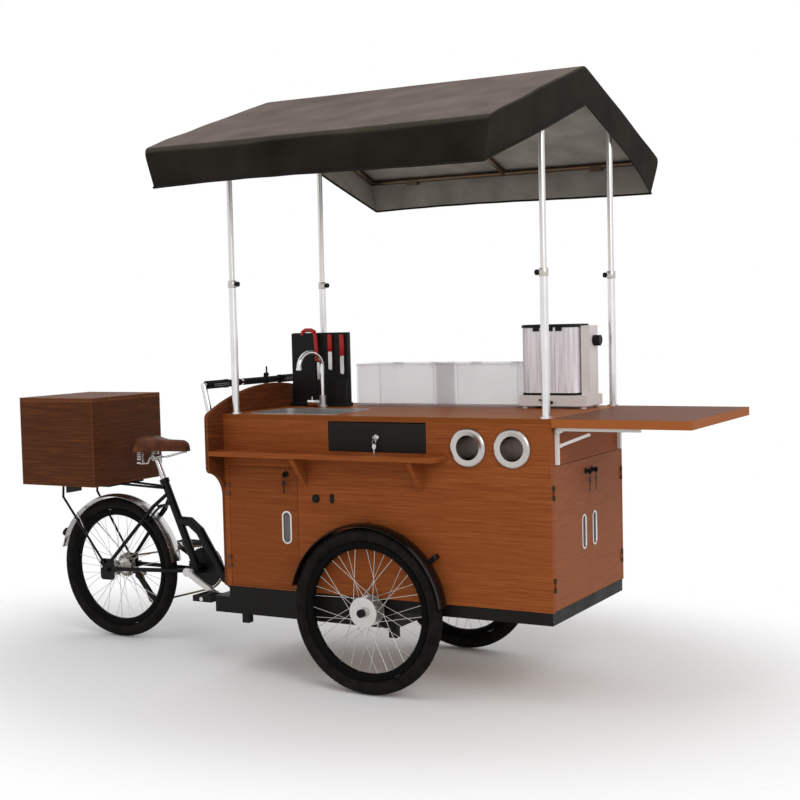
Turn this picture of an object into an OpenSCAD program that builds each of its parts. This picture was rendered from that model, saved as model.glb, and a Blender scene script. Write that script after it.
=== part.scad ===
// Three-wheeled pedal cart with a wooden serving cabinet in front and a rider's half frame behind.
// Lengths in millimetres. Before the last shift, x = 0 is the cabinet's rear end, y = 0 the middle
// plane and z = 0 the ground; +x points to the serving leaf, -y to the side with the shelf.

/* [Cabinet] */
// Length of the cabinet
cab_l = 1360; // [1250:5:1500]
// Width of the cabinet
cab_w = 690; // [640:5:760]
// Height of the wooden body, from the steel skirt to the underside of the counter
cab_h = 645; // [620:5:700]
// Thickness of the wooden panels
panel_t = 18; // [15:1:21]
// Thickness of the counter board
counter_t = 20; // [16:1:28]
// Gap round an inset door or drawer front
door_gap = 2; // [1.5:0.5:3]

/* [Near cupboard door] */
// Width of the door on the near side
near_door_w = 310; // [260:5:320]
// Height of the door on the near side
near_door_h = 459; // [400:1:470]
// Distance of that door from the cabinet's rear end
near_door_x = 22; // [20:1:30]
// Height of that door's lower edge above the skirt
near_door_rise = 6; // [5:1:30]

/* [Front doors] */
// Height of the two front doors
front_door_h = 497; // [440:1:500]
// Height of the front doors' lower edge above the skirt
front_door_rise = 3; // [2:1:10]

/* [Door pulls] */
// Width of a sunk door pull
pull_w = 39; // [30:1:50]
// Length of a sunk door pull
pull_l = 122; // [90:1:140]
// Depth of a sunk door pull
pull_d = 10; // [6:1:12]
// Distance of a pull's middle from the door's free edge
pull_edge = 50; // [40:1:70]
// Height of a pull's middle above the skirt
pull_z = 240; // [200:5:300]

/* [Drawer] */
// Distance of the drawer front from the cabinet's rear end
drawer_x = 477; // [440:1:500]
// Length of the drawer front
drawer_l = 404; // [340:2:420]
// Height of the drawer front
drawer_h = 105; // [90:1:110]
// Depth of the drawer box behind its front
drawer_d = 420; // [300:5:440]
// Wall of the drawer box
drawer_wall = 10; // [8:1:14]
// Height of the drawer box
drawer_box_h = 80; // [60:1:85]

/* [Headboard] */
// Thickness of the headboard
head_t = 14; // [12:1:24]
// Distance that each wing of the headboard stands out past the cabinet's side
wing = 100; // [100:1:125]
// Radius of the cove under each wing
cove_r = 100; // [80:1:100]
// Height of the arched top above the counter, in the middle
head_rise = 102; // [95:1:130]
// Height of the arched top above the counter, at the wing tips
tip_rise = 2; // [0:1:20]
// Depth of the wing tips below the counter, down to the cove
tip_drop = 220; // [180:1:240]

/* [Side shelf] */
// Length of the shelf on the near side
shelf_l = 964; // [880:2:1000]
// Depth of the shelf
shelf_d = 100; // [80:1:100]
// Thickness of the shelf
shelf_t = 18; // [15:1:21]
// Height of a shelf bracket
shelf_bracket_h = 105; // [80:1:120]
// Distance of the first shelf bracket from the cabinet's rear end
bracket_first = 360; // [340:5:400]
// Distance from one shelf bracket to the next
bracket_pitch = 490; // [400:5:500]
// Distance of the shelf below the drawer's opening
shelf_drop = 4; // [2:1:20]

/* [Cup dispensers] */
// Distance of the first cup dispenser from the cabinet's front end
cup_first = 143; // [130:1:160]
// Distance from one dispenser to the next
cup_pitch = 169; // [155:1:175]
// Depth of the dispensers' middle below the counter
cup_drop = 105; // [95:1:130]
// Radius of a dispenser's rim
cup_rim_r = 70; // [60:1:75]
// Inner radius of a dispenser's tube
cup_r = 44; // [38:1:46]
// Wall of a dispenser's tube
cup_wall = 3; // [2:0.5:4]
// Length of a dispenser's tube
cup_l = 250; // [180:5:300]

/* [Sink and tap] */
// Length of the sink bowl
sink_l = 380; // [300:5:390]
// Width of the sink bowl
sink_w = 280; // [220:5:290]
// Depth of the sink bowl
sink_d = 140; // [100:5:160]
// Wall of the sink bowl
sink_wall = 2; // [1.5:0.5:3]
// Corner radius of the sink bowl
sink_r = 40; // [20:1:60]
// Width of the sink's rim
sink_rim = 10; // [8:1:12]
// Gap between a pole's foot and the sink's rim
sink_gap = 8; // [2:1:30]
// Distance of the sink bowl from the cabinet's near side
sink_y = 45; // [30:1:60]
// Distance of the tap from the bowl's rear end
tap_in = 104; // [60:1:200]
// Distance of the tap behind the bowl
tap_back = 95; // [60:1:110]
// Radius of the tap's bent neck
neck_r = 58; // [45:1:70]
// Radius of the tap's tube
tap_r = 9; // [7:0.5:11]
// Height of the tap above the counter
tap_h = 231; // [200:1:260]
// Direction of the spout over the sink, from the cart's forward direction
spout_turn = -110; // [-130:5:-90]

/* [Display cases] */
// Gap between the utensil rack and the first display case
case_off = 29; // [4:1:30]
// Length of one display case
case_l = 352; // [300:2:354]
// Distance of the display cases from the cabinet's far side
case_back = 10; // [8:1:20]
// Depth of a display case
case_d = 185; // [140:5:190]
// Height of a display case
case_h = 166; // [120:1:200]
// Wall of a display case
case_wall = 5; // [4:0.5:8]
// Gap between the two display cases
case_gap = 8; // [6:1:10]

/* [Steamer] */
// Distance of the steamer's rear side from the cabinet's front end
steamer_from_front = 325; // [318:1:330]
// Gap between the steamer and the foot of the far pole
steamer_gap = 10; // [4:1:30]
// Length of the steamer's drum housing
steamer_l = 235; // [200:1:240]
// Depth of the steamer
steamer_d = 165; // [130:1:170]
// Height of the steamer, feet and lid included
steamer_h = 315; // [260:1:340]
// Height of the lid rim
steamer_lid_h = 22; // [16:1:30]
// Height of the base
steamer_base_h = 40; // [30:1:50]
// Height of the feet
steamer_foot_h = 10; // [6:1:16]
// Length of the control column
column_l = 34; // [30:1:70]
// Radius of the control knob
knob_r = 18; // [12:1:22]
// Length of the control knob
knob_l = 28; // [18:1:30]

/* [Utensil rack] */
// Distance of the utensil rack from the headboard
rack_x = 16; // [14:1:40]
// Length of the utensil rack
rack_l = 264; // [220:1:266]
// Gap between the tap and the rack behind it
rack_gap = 8; // [4:1:20]
// Height of the utensil rack
rack_h = 300; // [240:5:320]
// Thickness of the rack's upright board
rack_t = 24; // [16:1:30]

/* [Serving leaf] */
// Length of the folding leaf
leaf_l = 488; // [400:2:520]
// Thickness of the leaf
leaf_t = 30; // [24:1:34]
// Gap between the leaf and the counter
leaf_gap = 2; // [1.5:0.5:3]
// Distance of the leaf's pivot in front of the cabinet
leaf_pivot_x = 18; // [16:1:22]
// Depth of the leaf's pivot below the leaf
leaf_pivot_drop = 12; // [11:1:15]
// Length of a bracket arm under the leaf
arm_l = 290; // [220:5:320]
// Width of a bracket arm, leg or strut
bracket_w = 14; // [10:1:16]
// Distance of the brackets' outer face from the cabinet's side
bracket_in = 22; // [20:1:40]
// Depth of a strut's pivot below the leaf's pivot
strut_drop = 51; // [45:1:60]
// Length of a strut between its ends
strut_l = 106; // [95:1:110]
// Rise of a strut in use, in degrees
strut_rise = 21; // [15:1:23]

/* [Poles and canopy] */
// Distance of the rear poles from the cabinet's rear end
pole_in = 48; // [48:1:60]
// Distance of the front poles from the cabinet's front end
pole_front_in = 24; // [24:1:40]
// Distance of the poles from the cabinet's sides
pole_side = 22; // [22:1:40]
// Radius of the lower pole tube
pole_r = 14; // [13:0.5:16]
// Radius of the upper pole tube
mast_r = 11; // [9:0.5:11]
// Length of the lower pole tube
pole_l = 510; // [450:5:560]
// Length of upper tube held in the lower one with the canopy raised
mast_overlap = 110; // [100:5:150]
// Width of a pole's foot flange round the tube
foot_w = 8; // [4:0.5:8]
// Distance of the canopy's rear end inside the cabinet's rear end
canopy_in = 28; // [24:1:30]
// Distance that the canopy reaches past the cabinet's front end
canopy_over = 8; // [4:1:20]
// Overall width of the canopy at its eaves
canopy_w = 1594; // [1400:2:1700]
// Height of the eaves above the counter
eave_h = 967; // [900:1:1000]
// Rise of the ridge above the eaves
ridge_h = 262; // [200:1:300]
// Height of the hanging edge
valance_h = 136; // [100:1:150]
// Thickness of the canopy cloth
cloth_t = 3; // [2:0.5:4]
// Distance that the hanging edge is drawn in at the corners
corner_in = 32; // [10:1:40]
// Depth of the sag between two rafters
cloth_sag = 9; // [2:1:12]
// Depth of the folds along the hanging edge
fold_d = 5; // [0:1:7]
// Number of folds along one eave
folds = 7; // [3:1:9]
// Radius of the canopy frame's tubes
rafter_r = 11; // [8:0.5:12]

/* [Chassis] */
// Height of the steel skirt under the cabinet
skirt_h = 45; // [35:1:60]
// Thickness of the skirt
skirt_t = 24; // [16:1:30]
// Height of the chassis rails
rail_h = 63; // [50:1:70]
// Width of the chassis rails
rail_w = 50; // [40:1:60]
// Distance that the rails reach behind the cabinet
rail_back = 65; // [60:1:68]
// Length of the rails under the cabinet
rail_l = 740; // [700:5:800]
// Height of the cabinet's underside above the wheel axles
cab_over_axle = 40; // [34:1:60]
// Place of the front axle along the cart
axle_x = 650; // [600:5:700]
// Radius of a front wheel spindle
spindle_r = 10; // [8:0.5:12]
// Distance of the steering pivot behind the cabinet
pivot_back = 100; // [98:1:105]
// Radius of the steering pin
kingpin_r = 15; // [12:0.5:18]
// Outer radius of the steering tube
pivot_r = 32; // [28:0.5:34]

/* [Handlebar] */
// Distance of the handlebar behind the headboard
bar_back = 78; // [70:1:86]
// Height of the handlebar above the counter
bar_h = 110; // [100:1:130]
// Radius of the handlebar tube
bar_r = 11; // [10:0.5:12.5]
// Distance between the handlebar's legs
bar_w = 676; // [600:2:680]
// Length of a grip
grip_l = 120; // [100:1:130]
// Radius of a grip
grip_r = 16; // [14:0.5:18]
// Length of a brake lever
lever_l = 130; // [100:1:140]

/* [Wheels] */
// Outer radius of a tyre
wheel_r = 305; // [290:1:320]
// Width of a tyre
tyre_w = 52; // [44:1:56]
// Inner radius of a rim
rim_in_r = 228; // [215:1:230]
// Width of a rim
rim_w = 30; // [24:1:36]
// Distance of a front wheel's middle plane from the cabinet's side
wheel_out = 46; // [46:1:60]
// Radius of a front hub's flanges
front_flange_r = 56; // [40:1:60]
// Radius of the rear hub's flanges
rear_flange_r = 33; // [28:1:36]
// Number of spokes in a wheel
spokes = 36; // [24:12:48]
// Radius of a spoke
spoke_r = 1.1; // [0.9:0.1:1.4]

/* [Fenders] */
// Gap between a tyre and its fender
fender_gap = 15; // [12:1:20]
// Width of a fender
fender_w = 66; // [60:1:70]
// Radius of a fender's crown
crown_r = 60; // [45:1:90]
// Thickness of a fender
fender_t = 2; // [1.5:0.5:3]

/* [Rider's frame] */
// Distance of the crank axis behind the cabinet
crank_back = 410; // [405:1:430]
// Height of the crank axis above the wheel axles
crank_rise = 15; // [0:1:30]
// Distance from the crank axis to the rear axle, along the cart
stay_l = 419; // [415:1:440]
// Length of the seat tube
seat_tube_l = 413; // [395:1:430]
// Lean of the seat tube from upright, in degrees
seat_lean = 23.3; // [21:0.1:25]
// Outer radius of the seat tube
seat_tube_r = 17; // [16:0.5:19]
// Radius of the seat post
post_r = 13.6; // [12.5:0.1:14]
// Length of seat post above the seat tube
post_up = 92; // [85:1:110]
// Length of seat post inside the seat tube
post_in = 150; // [120:1:160]
// Radius of the curved main tube
main_tube_r = 20; // [16:0.5:22]
// Radius of the stays
stay_r = 9; // [7:0.5:10]
// Half the distance between the rear dropouts' outer faces
dropout_y = 83; // [82:1:88]
// Thickness of a dropout
dropout_t = 6; // [4:0.5:8]
// Radius of the rear axle
rear_axle_r = 6; // [5:0.5:7]

/* [Drive] */
// Teeth of the chainring
ring_teeth = 46; // [42:1:48]
// Height of the chain's side plates
chain_h = 8; // [7:0.5:9]
// Width of the chain
chain_w = 6; // [5:0.5:7]
// Distance of the chain line from the middle plane
chain_y = 54; // [54:1:55]
// Length of a crank arm
crank_l = 170; // [160:1:175]
// Angle of the near crank arm below forward, in degrees
crank_turn = 29; // [0:1:90]
// Length of a pedal along its axle
pedal_l = 88; // [75:1:95]
// Length of a pedal along the foot
pedal_w = 94; // [80:1:98]
// Radius of a pulley
pulley_r = 18; // [15:0.5:20]

/* [Saddle] */
// Length of the saddle
saddle_l = 266; // [250:1:280]
// Width of the saddle
saddle_w = 206; // [180:1:220]
// Height of the saddle's middle
saddle_h = 62; // [52:1:70]
// Number of curls in one saddle spring
spring_curls = 5; // [4:1:6]
// Radius of a saddle spring
spring_r = 15; // [12:0.5:17]
// Radius of the spring wire
wire_r = 2.2; // [1.8:0.1:2.6]
// Height of a saddle spring
spring_h = 46; // [42:1:52]

/* [Rear box] */
// Length of the rear box
box_l = 404; // [340:2:404]
// Width of the rear box
box_w = 450; // [400:2:520]
// Height of the rear box, lid included
box_h = 376; // [320:1:420]
// Thickness of the box's boards
box_t = 15; // [12:1:18]
// Distance of the box's middle behind the rear axle
box_back = 136; // [130:1:145]
// Height of the box's floor above the wheel axle
box_rise = 376; // [372:1:400]
// Radius of the carrier's tubes
carrier_r = 6; // [5:0.5:7]

/* [Fits] */
// Radial clearance of a running fit
fit = 0.05; // [0.02:0.01:0.09]
// Clearance between parts that pass each other
pass = 0.3; // [0.3:0.1:0.6]
// Radius of a hinge knuckle
knuckle_r = 3.5; // [3:0.1:3.7]
// Height of a hinge knuckle
knuckle_h = 16; // [12:1:20]
// Radius of a hinge pin
hinge_pin_r = 1.8; // [1.4:0.1:2]
// Distance of a hinge's axis in front of the board that it sits on
hinge_off = 4; // [4:0.5:5]
// Thickness of a hinge's plate
plate_t = 2; // [1.5:0.5:2]
// Width of a hinge's plate
plate_w = 16; // [10:1:18]

/* [Hidden] */
$fn = 48;

// Chain pitch, and the teeth of the cogs from the outer one inwards
chain_pitch = 12.7;
cog_teeth = [14, 16, 18, 21, 24, 28];

// Heights, from the ground up
axle_z = wheel_r;
base_z = axle_z + cab_over_axle;
skirt_z = base_z - skirt_h;
rail_z = skirt_z - rail_h;
board_top = base_z + cab_h;
counter_z = board_top + counter_t;
crank_z = axle_z + crank_rise;
box_z = axle_z + box_rise;
eave_z = counter_z + eave_h;
ridge_z = eave_z + ridge_h;

// Places along and across the cart
half_w = cab_w / 2;
crank_x = -crank_back;
rear_x = crank_x - stay_l;
box_x = rear_x - box_back - box_l / 2;
leaf_x = cab_l + leaf_gap;
x_mid = (box_x + leaf_x + leaf_l) / 2;
wheel_y = half_w + wheel_out;
pole_y = half_w - pole_side;
pole_xs = [pole_in, cab_l - pole_front_in];
foot_r = pole_r + foot_w;

// Openings in the cabinet
near_door_z = base_z + near_door_rise;
front_door_z = base_z + front_door_rise;
fascia_z = front_door_z + front_door_h + door_gap;
drawer_z = board_top - 2 * door_gap - drawer_h;
deck_t = 12;
deck_z = drawer_z - door_gap;
shelf_z = deck_z - shelf_drop;
cup_z = counter_z - cup_drop;
cup_xs = [cab_l - cup_first, cab_l - cup_first - cup_pitch];

// Counter gear
sink_x = pole_in + foot_r + sink_gap + sink_rim;
sink_mid = [sink_x + sink_l / 2, -half_w + sink_y + sink_w / 2];
tap_base_r = 22;
tap_x = sink_x + tap_in;
tap_y = -half_w + sink_y + sink_w + tap_back;
tap_body_h = 48;
valve_z = counter_z + 18;
valve_l = 34;
rack_y = tap_y + tap_base_r + rack_gap;
case_y = half_w - case_back - case_d;
case_xs = [for (i = [0, 1]) rack_x + rack_l + case_off + i * (case_l + case_gap)];
case_top = counter_z + case_h;
steamer_x = cab_l - steamer_from_front;
steamer_y = pole_y - foot_r - steamer_gap - steamer_d;
steamer_floor = counter_z + steamer_foot_h + steamer_base_h;
steamer_top = counter_z + steamer_h;
column_x = steamer_x + steamer_l + 2;
knob_z = counter_z + steamer_h - 61;

// Leaf brackets
leaf_z = counter_z - leaf_t;
pivot_x = cab_l + leaf_pivot_x;
pivot_z = leaf_z - leaf_pivot_drop;
strut_x = pivot_x + 2;
strut_z = pivot_z - strut_drop;
bracket_y = half_w - bracket_in;

// Wheels and drive
rim_out_r = wheel_r - tyre_w + 1;
hub_l = 80;
fender_r = wheel_r + fender_gap + fender_t;
ring_r = ring_teeth * chain_pitch / 360 * 180 / PI;
cog_pitch = 5;
drive_cog = 2;
function cog_r(i) = cog_teeth[i] * chain_pitch / 360 * 180 / PI;
function cog_y(i) = -chain_y - (drive_cog - i) * cog_pitch;
upper_pulley = [rear_x + 54, axle_z - 43];
lower_pulley = [rear_x + 129, axle_z - 135];
arm_y = 66;
arm_t = 13;
pedal_axle_r = 6;
pedal_y = arm_y + arm_t + 4;

// Points on the seat tube's axis, by their distance from the crank axis
function seat_at(s) = [crank_x - s * sin(seat_lean), 0, crank_z + s * cos(seat_lean)];
post_top = seat_at(seat_tube_l + post_up);
saddle_back = 92;
spring_base = post_top + [-50, 0, -8];
saddle_z = spring_base.z + spring_h + pass;
carrier_z = box_z - carrier_r;

// Handlebar
bar_x = -head_t - bar_back;
bar_z = counter_z + bar_h;
bar_foot_x = -head_t - 46;
bar_foot_z = counter_z - 25;
grip_end = bar_w / 2 - 14;
clamp_y = grip_end - grip_l - 12;
lever_x = bar_x + 28;
shifter_y = 92;
shifter_z = bar_z + 22;

// Puts the origin on the ground under the middle of the whole cart
module placed() {
    translate([-x_mid, 0, 0]) children();
}

// Round rod between two points
module rod(a, b, r) {
    d = b - a;
    translate(a)
        rotate([0, acos(d.z / norm(d)), atan2(d.y, d.x)])
            cylinder(r = r, h = norm(d));
}

// Rods end to end, with a ball a little wider than the tube at each elbow
module bent_tube(points, r) {
    for (i = [0 : len(points) - 2]) rod(points[i], points[i + 1], r);
    for (i = [1 : len(points) - 2]) translate(points[i]) sphere(r = r + 0.3);
}

// Cylinder along the cart's width, from y0 to y1
module cross_pin(x, z, y0, y1, r) {
    translate([x, min(y0, y1), z]) rotate([-90, 0, 0]) cylinder(r = r, h = abs(y1 - y0));
}

function arc(cx, cy, r, a0, a1, n) =
    [for (i = [0 : n]) let (a = a0 + (a1 - a0) * i / n) [cx + r * cos(a), cy + r * sin(a)]];

// Flat outline with four round corners, centred
module rounded_rect(l, w, r) {
    x = l / 2 - r;
    y = w / 2 - r;
    polygon(concat(arc(x, y, r, 0, 90, 6), arc(-x, y, r, 90, 180, 6),
        arc(-x, -y, r, 180, 270, 6), arc(x, -y, r, 270, 360, 6)));
}

// Copies a piece of the near side onto the far side
module both_sides() {
    children();
    mirror([0, 1, 0]) children();
}

// Fixed half of a hinge: axis along z, board to -x, board face at y = hinge_off
module fixed_knuckles(w = plate_w) {
    pitch = knuckle_h + pass;
    for (s = [-1, 1]) translate([0, 0, s * pitch]) {
        cylinder(r = knuckle_r, h = knuckle_h, center = true);
        translate([-w, hinge_off - plate_t, -knuckle_h / 2]) cube([w, plate_t, knuckle_h]);
    }
    cylinder(r = hinge_pin_r, h = 3 * pitch, center = true);
}

// Moving half of the same hinge, with its board to +x
module moving_knuckle(w = plate_w) {
    difference() {
        union() {
            cylinder(r = knuckle_r, h = knuckle_h, center = true);
            translate([0, hinge_off - plate_t, -knuckle_h / 2]) cube([w, plate_t, knuckle_h]);
        }
        cylinder(r = hinge_pin_r + fit, h = 2 * knuckle_h, center = true);
    }
}

// Places of the hinges on each door, box and display case
door_hinge_in = 90;
module at_near_door_hinges() {
    for (z = [near_door_z + door_hinge_in, near_door_z + near_door_h - door_hinge_in])
        translate([near_door_x - door_gap / 2, -half_w - hinge_off, z]) children();
}
module at_front_door_hinges() {
    for (z = [front_door_z + door_hinge_in, front_door_z + front_door_h - door_hinge_in])
        translate([cab_l + hinge_off, -half_w + panel_t + door_gap / 2, z])
            rotate([0, 0, 90]) children();
}
module at_case_hinges(i) {
    for (x = [case_l / 4, 3 * case_l / 4])
        translate([case_xs[i] + x, case_y + case_d + hinge_off, case_top + pass / 2])
            rotate([180, -90, 0]) children();
}
module at_box_hinges() {
    for (y = [-box_w / 4, box_w / 4])
        translate([box_x + box_l + hinge_off, y, box_z + box_h - box_t + pass / 2])
            rotate([90, -90, 0]) children();
}

module chassis_frame() placed() color("black") {
    skirt_in = 4;
    wall = 5;
    rail_y = half_w - skirt_in - rail_w;
    difference() {
        union() {
            skirt(skirt_in, wall);
            for (y = [-rail_y - rail_w, rail_y])
                channel([-rail_back, y, rail_z], [rail_back + rail_l, rail_w, rail_h], wall);
            for (x = [-rail_back, rail_l - rail_w])
                channel([x, -rail_y - wall, rail_z], [rail_w, 2 * (rail_y + wall), rail_h], wall);
            translate([-pivot_back, -rail_w / 2, rail_z]) cube([pivot_back - rail_back + 1, rail_w, rail_h]);
            translate([-pivot_back, 0, rail_z]) cylinder(r = pivot_r, h = rail_h);
            axle();
            both_sides() {
                for (x = [60, rail_l - 30])
                    translate([x, -rail_y - rail_w, rail_z - 34]) cube([30, 30, 34]);
                translate([axle_x - 35, -rail_y - 1, rail_z]) cube([70, 30, base_z - rail_z - 8]);
            }
        }
        translate([-pivot_back, 0, rail_z - 1]) cylinder(r = kingpin_r + fit, h = rail_h + 2);
    }
}

// Angle-section ring under the cabinet's edge
module skirt(inset, wall) {
    size = [cab_l - 2 * inset, cab_w - 2 * inset, skirt_h];
    translate([inset, -size.y / 2, skirt_z]) difference() {
        cube(size);
        translate([skirt_t, skirt_t, -1]) cube([size.x - 2 * skirt_t, size.y - 2 * skirt_t, skirt_h + 2]);
        translate([wall, wall, -1]) cube([size.x - 2 * wall, size.y - 2 * wall, skirt_h - wall + 1]);
    }
}

// Channel section, open underneath
module channel(at, size, wall) {
    translate(at) difference() {
        cube(size);
        translate([wall, wall, -1]) cube([size.x - 2 * wall, size.y - 2 * wall, size.z - wall + 1]);
    }
}

// Through axle of the front wheels: shoulders, spindles and end nuts
module axle() {
    shoulder_y = wheel_y - hub_l / 2 - pass;
    nut_y = wheel_y + hub_l / 2 + pass;
    nut_l = 10;
    cross_pin(axle_x, axle_z, -shoulder_y, shoulder_y, spindle_r + 6);
    cross_pin(axle_x, axle_z, -nut_y - nut_l, nut_y + nut_l, spindle_r);
    for (s = [-1, 1]) cross_pin(axle_x, axle_z, s * nut_y, s * (nut_y + nut_l), spindle_r + 5);
}

// Near side of boards butted together round the cupboard door, then the far side and the fascia
module cabinet_panels() placed() color("sienna") {
    cut = panel_t + 2;
    joint = 0.2;
    x0 = near_door_x - door_gap;
    x1 = near_door_x + near_door_w + door_gap;
    z0 = near_door_z - door_gap;
    z1 = near_door_z + near_door_h + door_gap;
    translate([0, -half_w, base_z]) cube([x0 - joint, panel_t, cab_h]);
    translate([x0, -half_w, base_z]) cube([x1 - x0, panel_t, z0 - base_z]);
    translate([x0, -half_w, z1]) cube([x1 - x0, panel_t, board_top - z1]);
    difference() {
        translate([x1 + joint, -half_w, base_z]) cube([cab_l - x1 - joint, panel_t, cab_h]);
        translate([drawer_x - door_gap, -half_w - 1, deck_z])
            cube([drawer_l + 2 * door_gap, cut, board_top - deck_z + 1]);
        for (x = cup_xs)
            cross_pin(x, cup_z, -half_w - 1, -half_w + cut, cup_r + cup_wall + pass);
    }
    translate([0, half_w - panel_t, base_z]) cube([cab_l, panel_t, cab_h]);
    translate([cab_l - panel_t, -half_w + panel_t, fascia_z])
        cube([panel_t, cab_w - 2 * panel_t, board_top - fascia_z]);
}

// Right half of the headboard's outline, from its foot round the wing tip to the middle of its arch
function head_side() =
    let (tip = half_w + wing, cove_z = counter_z - tip_drop - cove_r, sag = head_rise - tip_rise,
        r = (tip * tip + sag * sag) / (2 * sag), arch_z = counter_z + head_rise - r, soft = 24, in = tip - soft,
        low = sqrt(cove_r * cove_r + 2 * cove_r * soft), high = sqrt((r - soft) * (r - soft) - in * in),
        low_a = atan2(low, -soft), high_a = atan2(high, in))
    concat([[tip - cove_r, base_z]], arc(tip, cove_z, cove_r, 180, low_a, 10),
        arc(in, cove_z + low, soft, low_a - 165, 0, 5), arc(in, arch_z + high, soft, 0, high_a, 4),
        arc(0, arch_z, r, high_a + 2, 90, 16));

module headboard() placed() color("sienna") {
    side = head_side();
    n = len(side);
    outline = concat(side, [for (i = [n - 2 : -1 : 0]) [-side[i].x, side[i].y]]);
    translate([-head_t, 0, 0]) rotate([90, 0, 90]) linear_extrude(head_t) polygon(outline);
}

module inner_boards() placed() color("peru") {
    inside = cab_w - 2 * panel_t - 2 * pass;
    floor_top = base_z + panel_t;
    translate([0, -inside / 2, base_z]) cube([cab_l - panel_t - door_gap, inside, panel_t]);
    translate([rail_l, -inside / 2, floor_top]) cube([panel_t, inside, deck_z - deck_t - floor_top]);
    translate([drawer_x - door_gap, -inside / 2, deck_z - deck_t])
        cube([drawer_l + 2 * door_gap, drawer_d + 20, deck_t]);
}

module counter_top() placed() color("chocolate") {
    sink_clear = 1;
    difference() {
        translate([0, -half_w, board_top]) cube([cab_l, cab_w, counter_t]);
        translate([sink_mid.x, sink_mid.y, board_top - 1])
            linear_extrude(counter_t + 2)
                rounded_rect(sink_l + 2 * sink_clear, sink_w + 2 * sink_clear, sink_r + sink_clear);
    }
}

module sink_bowl() placed() color("silver") {
    drain_r = 20;
    drain_l = 45;
    floor_z = counter_z - sink_d;
    translate([sink_mid.x, sink_mid.y, 0]) difference() {
        union() {
            translate([0, 0, counter_z]) linear_extrude(sink_wall)
                rounded_rect(sink_l + 2 * sink_rim, sink_w + 2 * sink_rim, sink_r + sink_rim);
            translate([0, 0, floor_z]) linear_extrude(sink_d + 1) rounded_rect(sink_l, sink_w, sink_r);
            translate([0, 0, floor_z - drain_l]) cylinder(r = drain_r + sink_wall, h = drain_l + 1);
        }
        translate([0, 0, floor_z + sink_wall]) linear_extrude(sink_d + 2)
            rounded_rect(sink_l - 2 * sink_wall, sink_w - 2 * sink_wall, sink_r - sink_wall);
        translate([0, 0, floor_z - drain_l - 1]) cylinder(r = drain_r, h = drain_l + sink_wall + 2);
    }
    tap_base();
}

// Foot and body of the tap, with the bore of the spout and the spindle of the lever
module tap_base() {
    translate([tap_x, tap_y, 0]) {
        difference() {
            union() {
                translate([0, 0, counter_z]) cylinder(r = tap_base_r, h = 10);
                translate([0, 0, counter_z]) cylinder(r = tap_r + 6, h = tap_body_h);
                translate([0, 0, valve_z]) rotate([0, -90, 0]) cylinder(r = tap_r + 3, h = valve_l);
            }
            translate([0, 0, counter_z + 16]) cylinder(r = tap_r - 2 + fit, h = tap_body_h);
        }
        translate([-valve_l + 1, 0, valve_z]) rotate([0, -90, 0]) cylinder(r = 5, h = 30);
    }
}

module tap_spout() placed() color("silver") {
    neck_z = counter_z + tap_h - neck_r - tap_r;
    riser_z = counter_z + tap_body_h + pass;
    nozzle_l = 10;
    translate([tap_x, tap_y, 0]) rotate([0, 0, spout_turn]) {
        translate([0, 0, counter_z + 20]) cylinder(r = tap_r - 2, h = tap_body_h);
        translate([0, 0, riser_z]) cylinder(r = tap_r, h = neck_z - riser_z);
        translate([neck_r, 0, neck_z]) rotate([90, 0, 0])
            rotate_extrude(angle = 180) translate([neck_r, 0]) circle(r = tap_r);
        translate([2 * neck_r, 0, neck_z - nozzle_l]) cylinder(r = tap_r + 2, h = nozzle_l);
    }
}

module tap_lever() placed() color("silver") {
    cap_l = 34;
    translate([tap_x - valve_l - pass, tap_y, valve_z]) difference() {
        union() {
            rotate([0, -90, 0]) cylinder(r = tap_r + 3, h = cap_l);
            translate([-cap_l / 2, 0, 0]) cylinder(r = 4, h = tap_r + 15);
        }
        translate([1, 0, 0]) rotate([0, -90, 0]) cylinder(r = 5 + fit, h = cap_l - 2);
    }
}

module side_shelf() placed() color("sienna") {
    corner_r = 40;
    translate([0, -half_w, shelf_z - shelf_t]) linear_extrude(shelf_t)
        polygon(concat([[0, 0], [0, -shelf_d]],
            arc(shelf_l - corner_r, -shelf_d + corner_r, corner_r, 270, 360, 8), [[shelf_l, 0]]));
    for (x = [bracket_first, bracket_first + bracket_pitch])
        translate([x, -half_w, shelf_z - shelf_t]) rotate([90, 0, 90]) linear_extrude(panel_t)
            polygon([[0, 0], [0, -shelf_bracket_h], [-12, -shelf_bracket_h],
                [12 - shelf_d, -12], [12 - shelf_d, 0]]);
}

module cup_dispensers() placed() color("gainsboro") {
    rim_t = 12;
    for (x = cup_xs)
        translate([x, -half_w, cup_z]) rotate([-90, 0, 0]) rotate_extrude() {
            translate([cup_r, -1]) square([cup_wall, cup_l + 1]);
            translate([0, cup_l - cup_wall]) square([cup_r + 1, cup_wall]);
            polygon(concat([[cup_r, 0], [cup_r, -rim_t / 2]],
                arc(cup_rim_r - rim_t, 0, rim_t, 270, 360, 6)));
        }
}

module lower_poles() placed() color("silver") {
    for (x = pole_xs, y = [-pole_y, pole_y])
        translate([x, y, counter_z]) difference() {
            union() {
                cylinder(r = pole_r, h = pole_l);
                cylinder(r = foot_r, h = 6);
            }
            translate([0, 0, 8]) cylinder(r = mast_r + fit, h = pole_l);
        }
}

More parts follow.
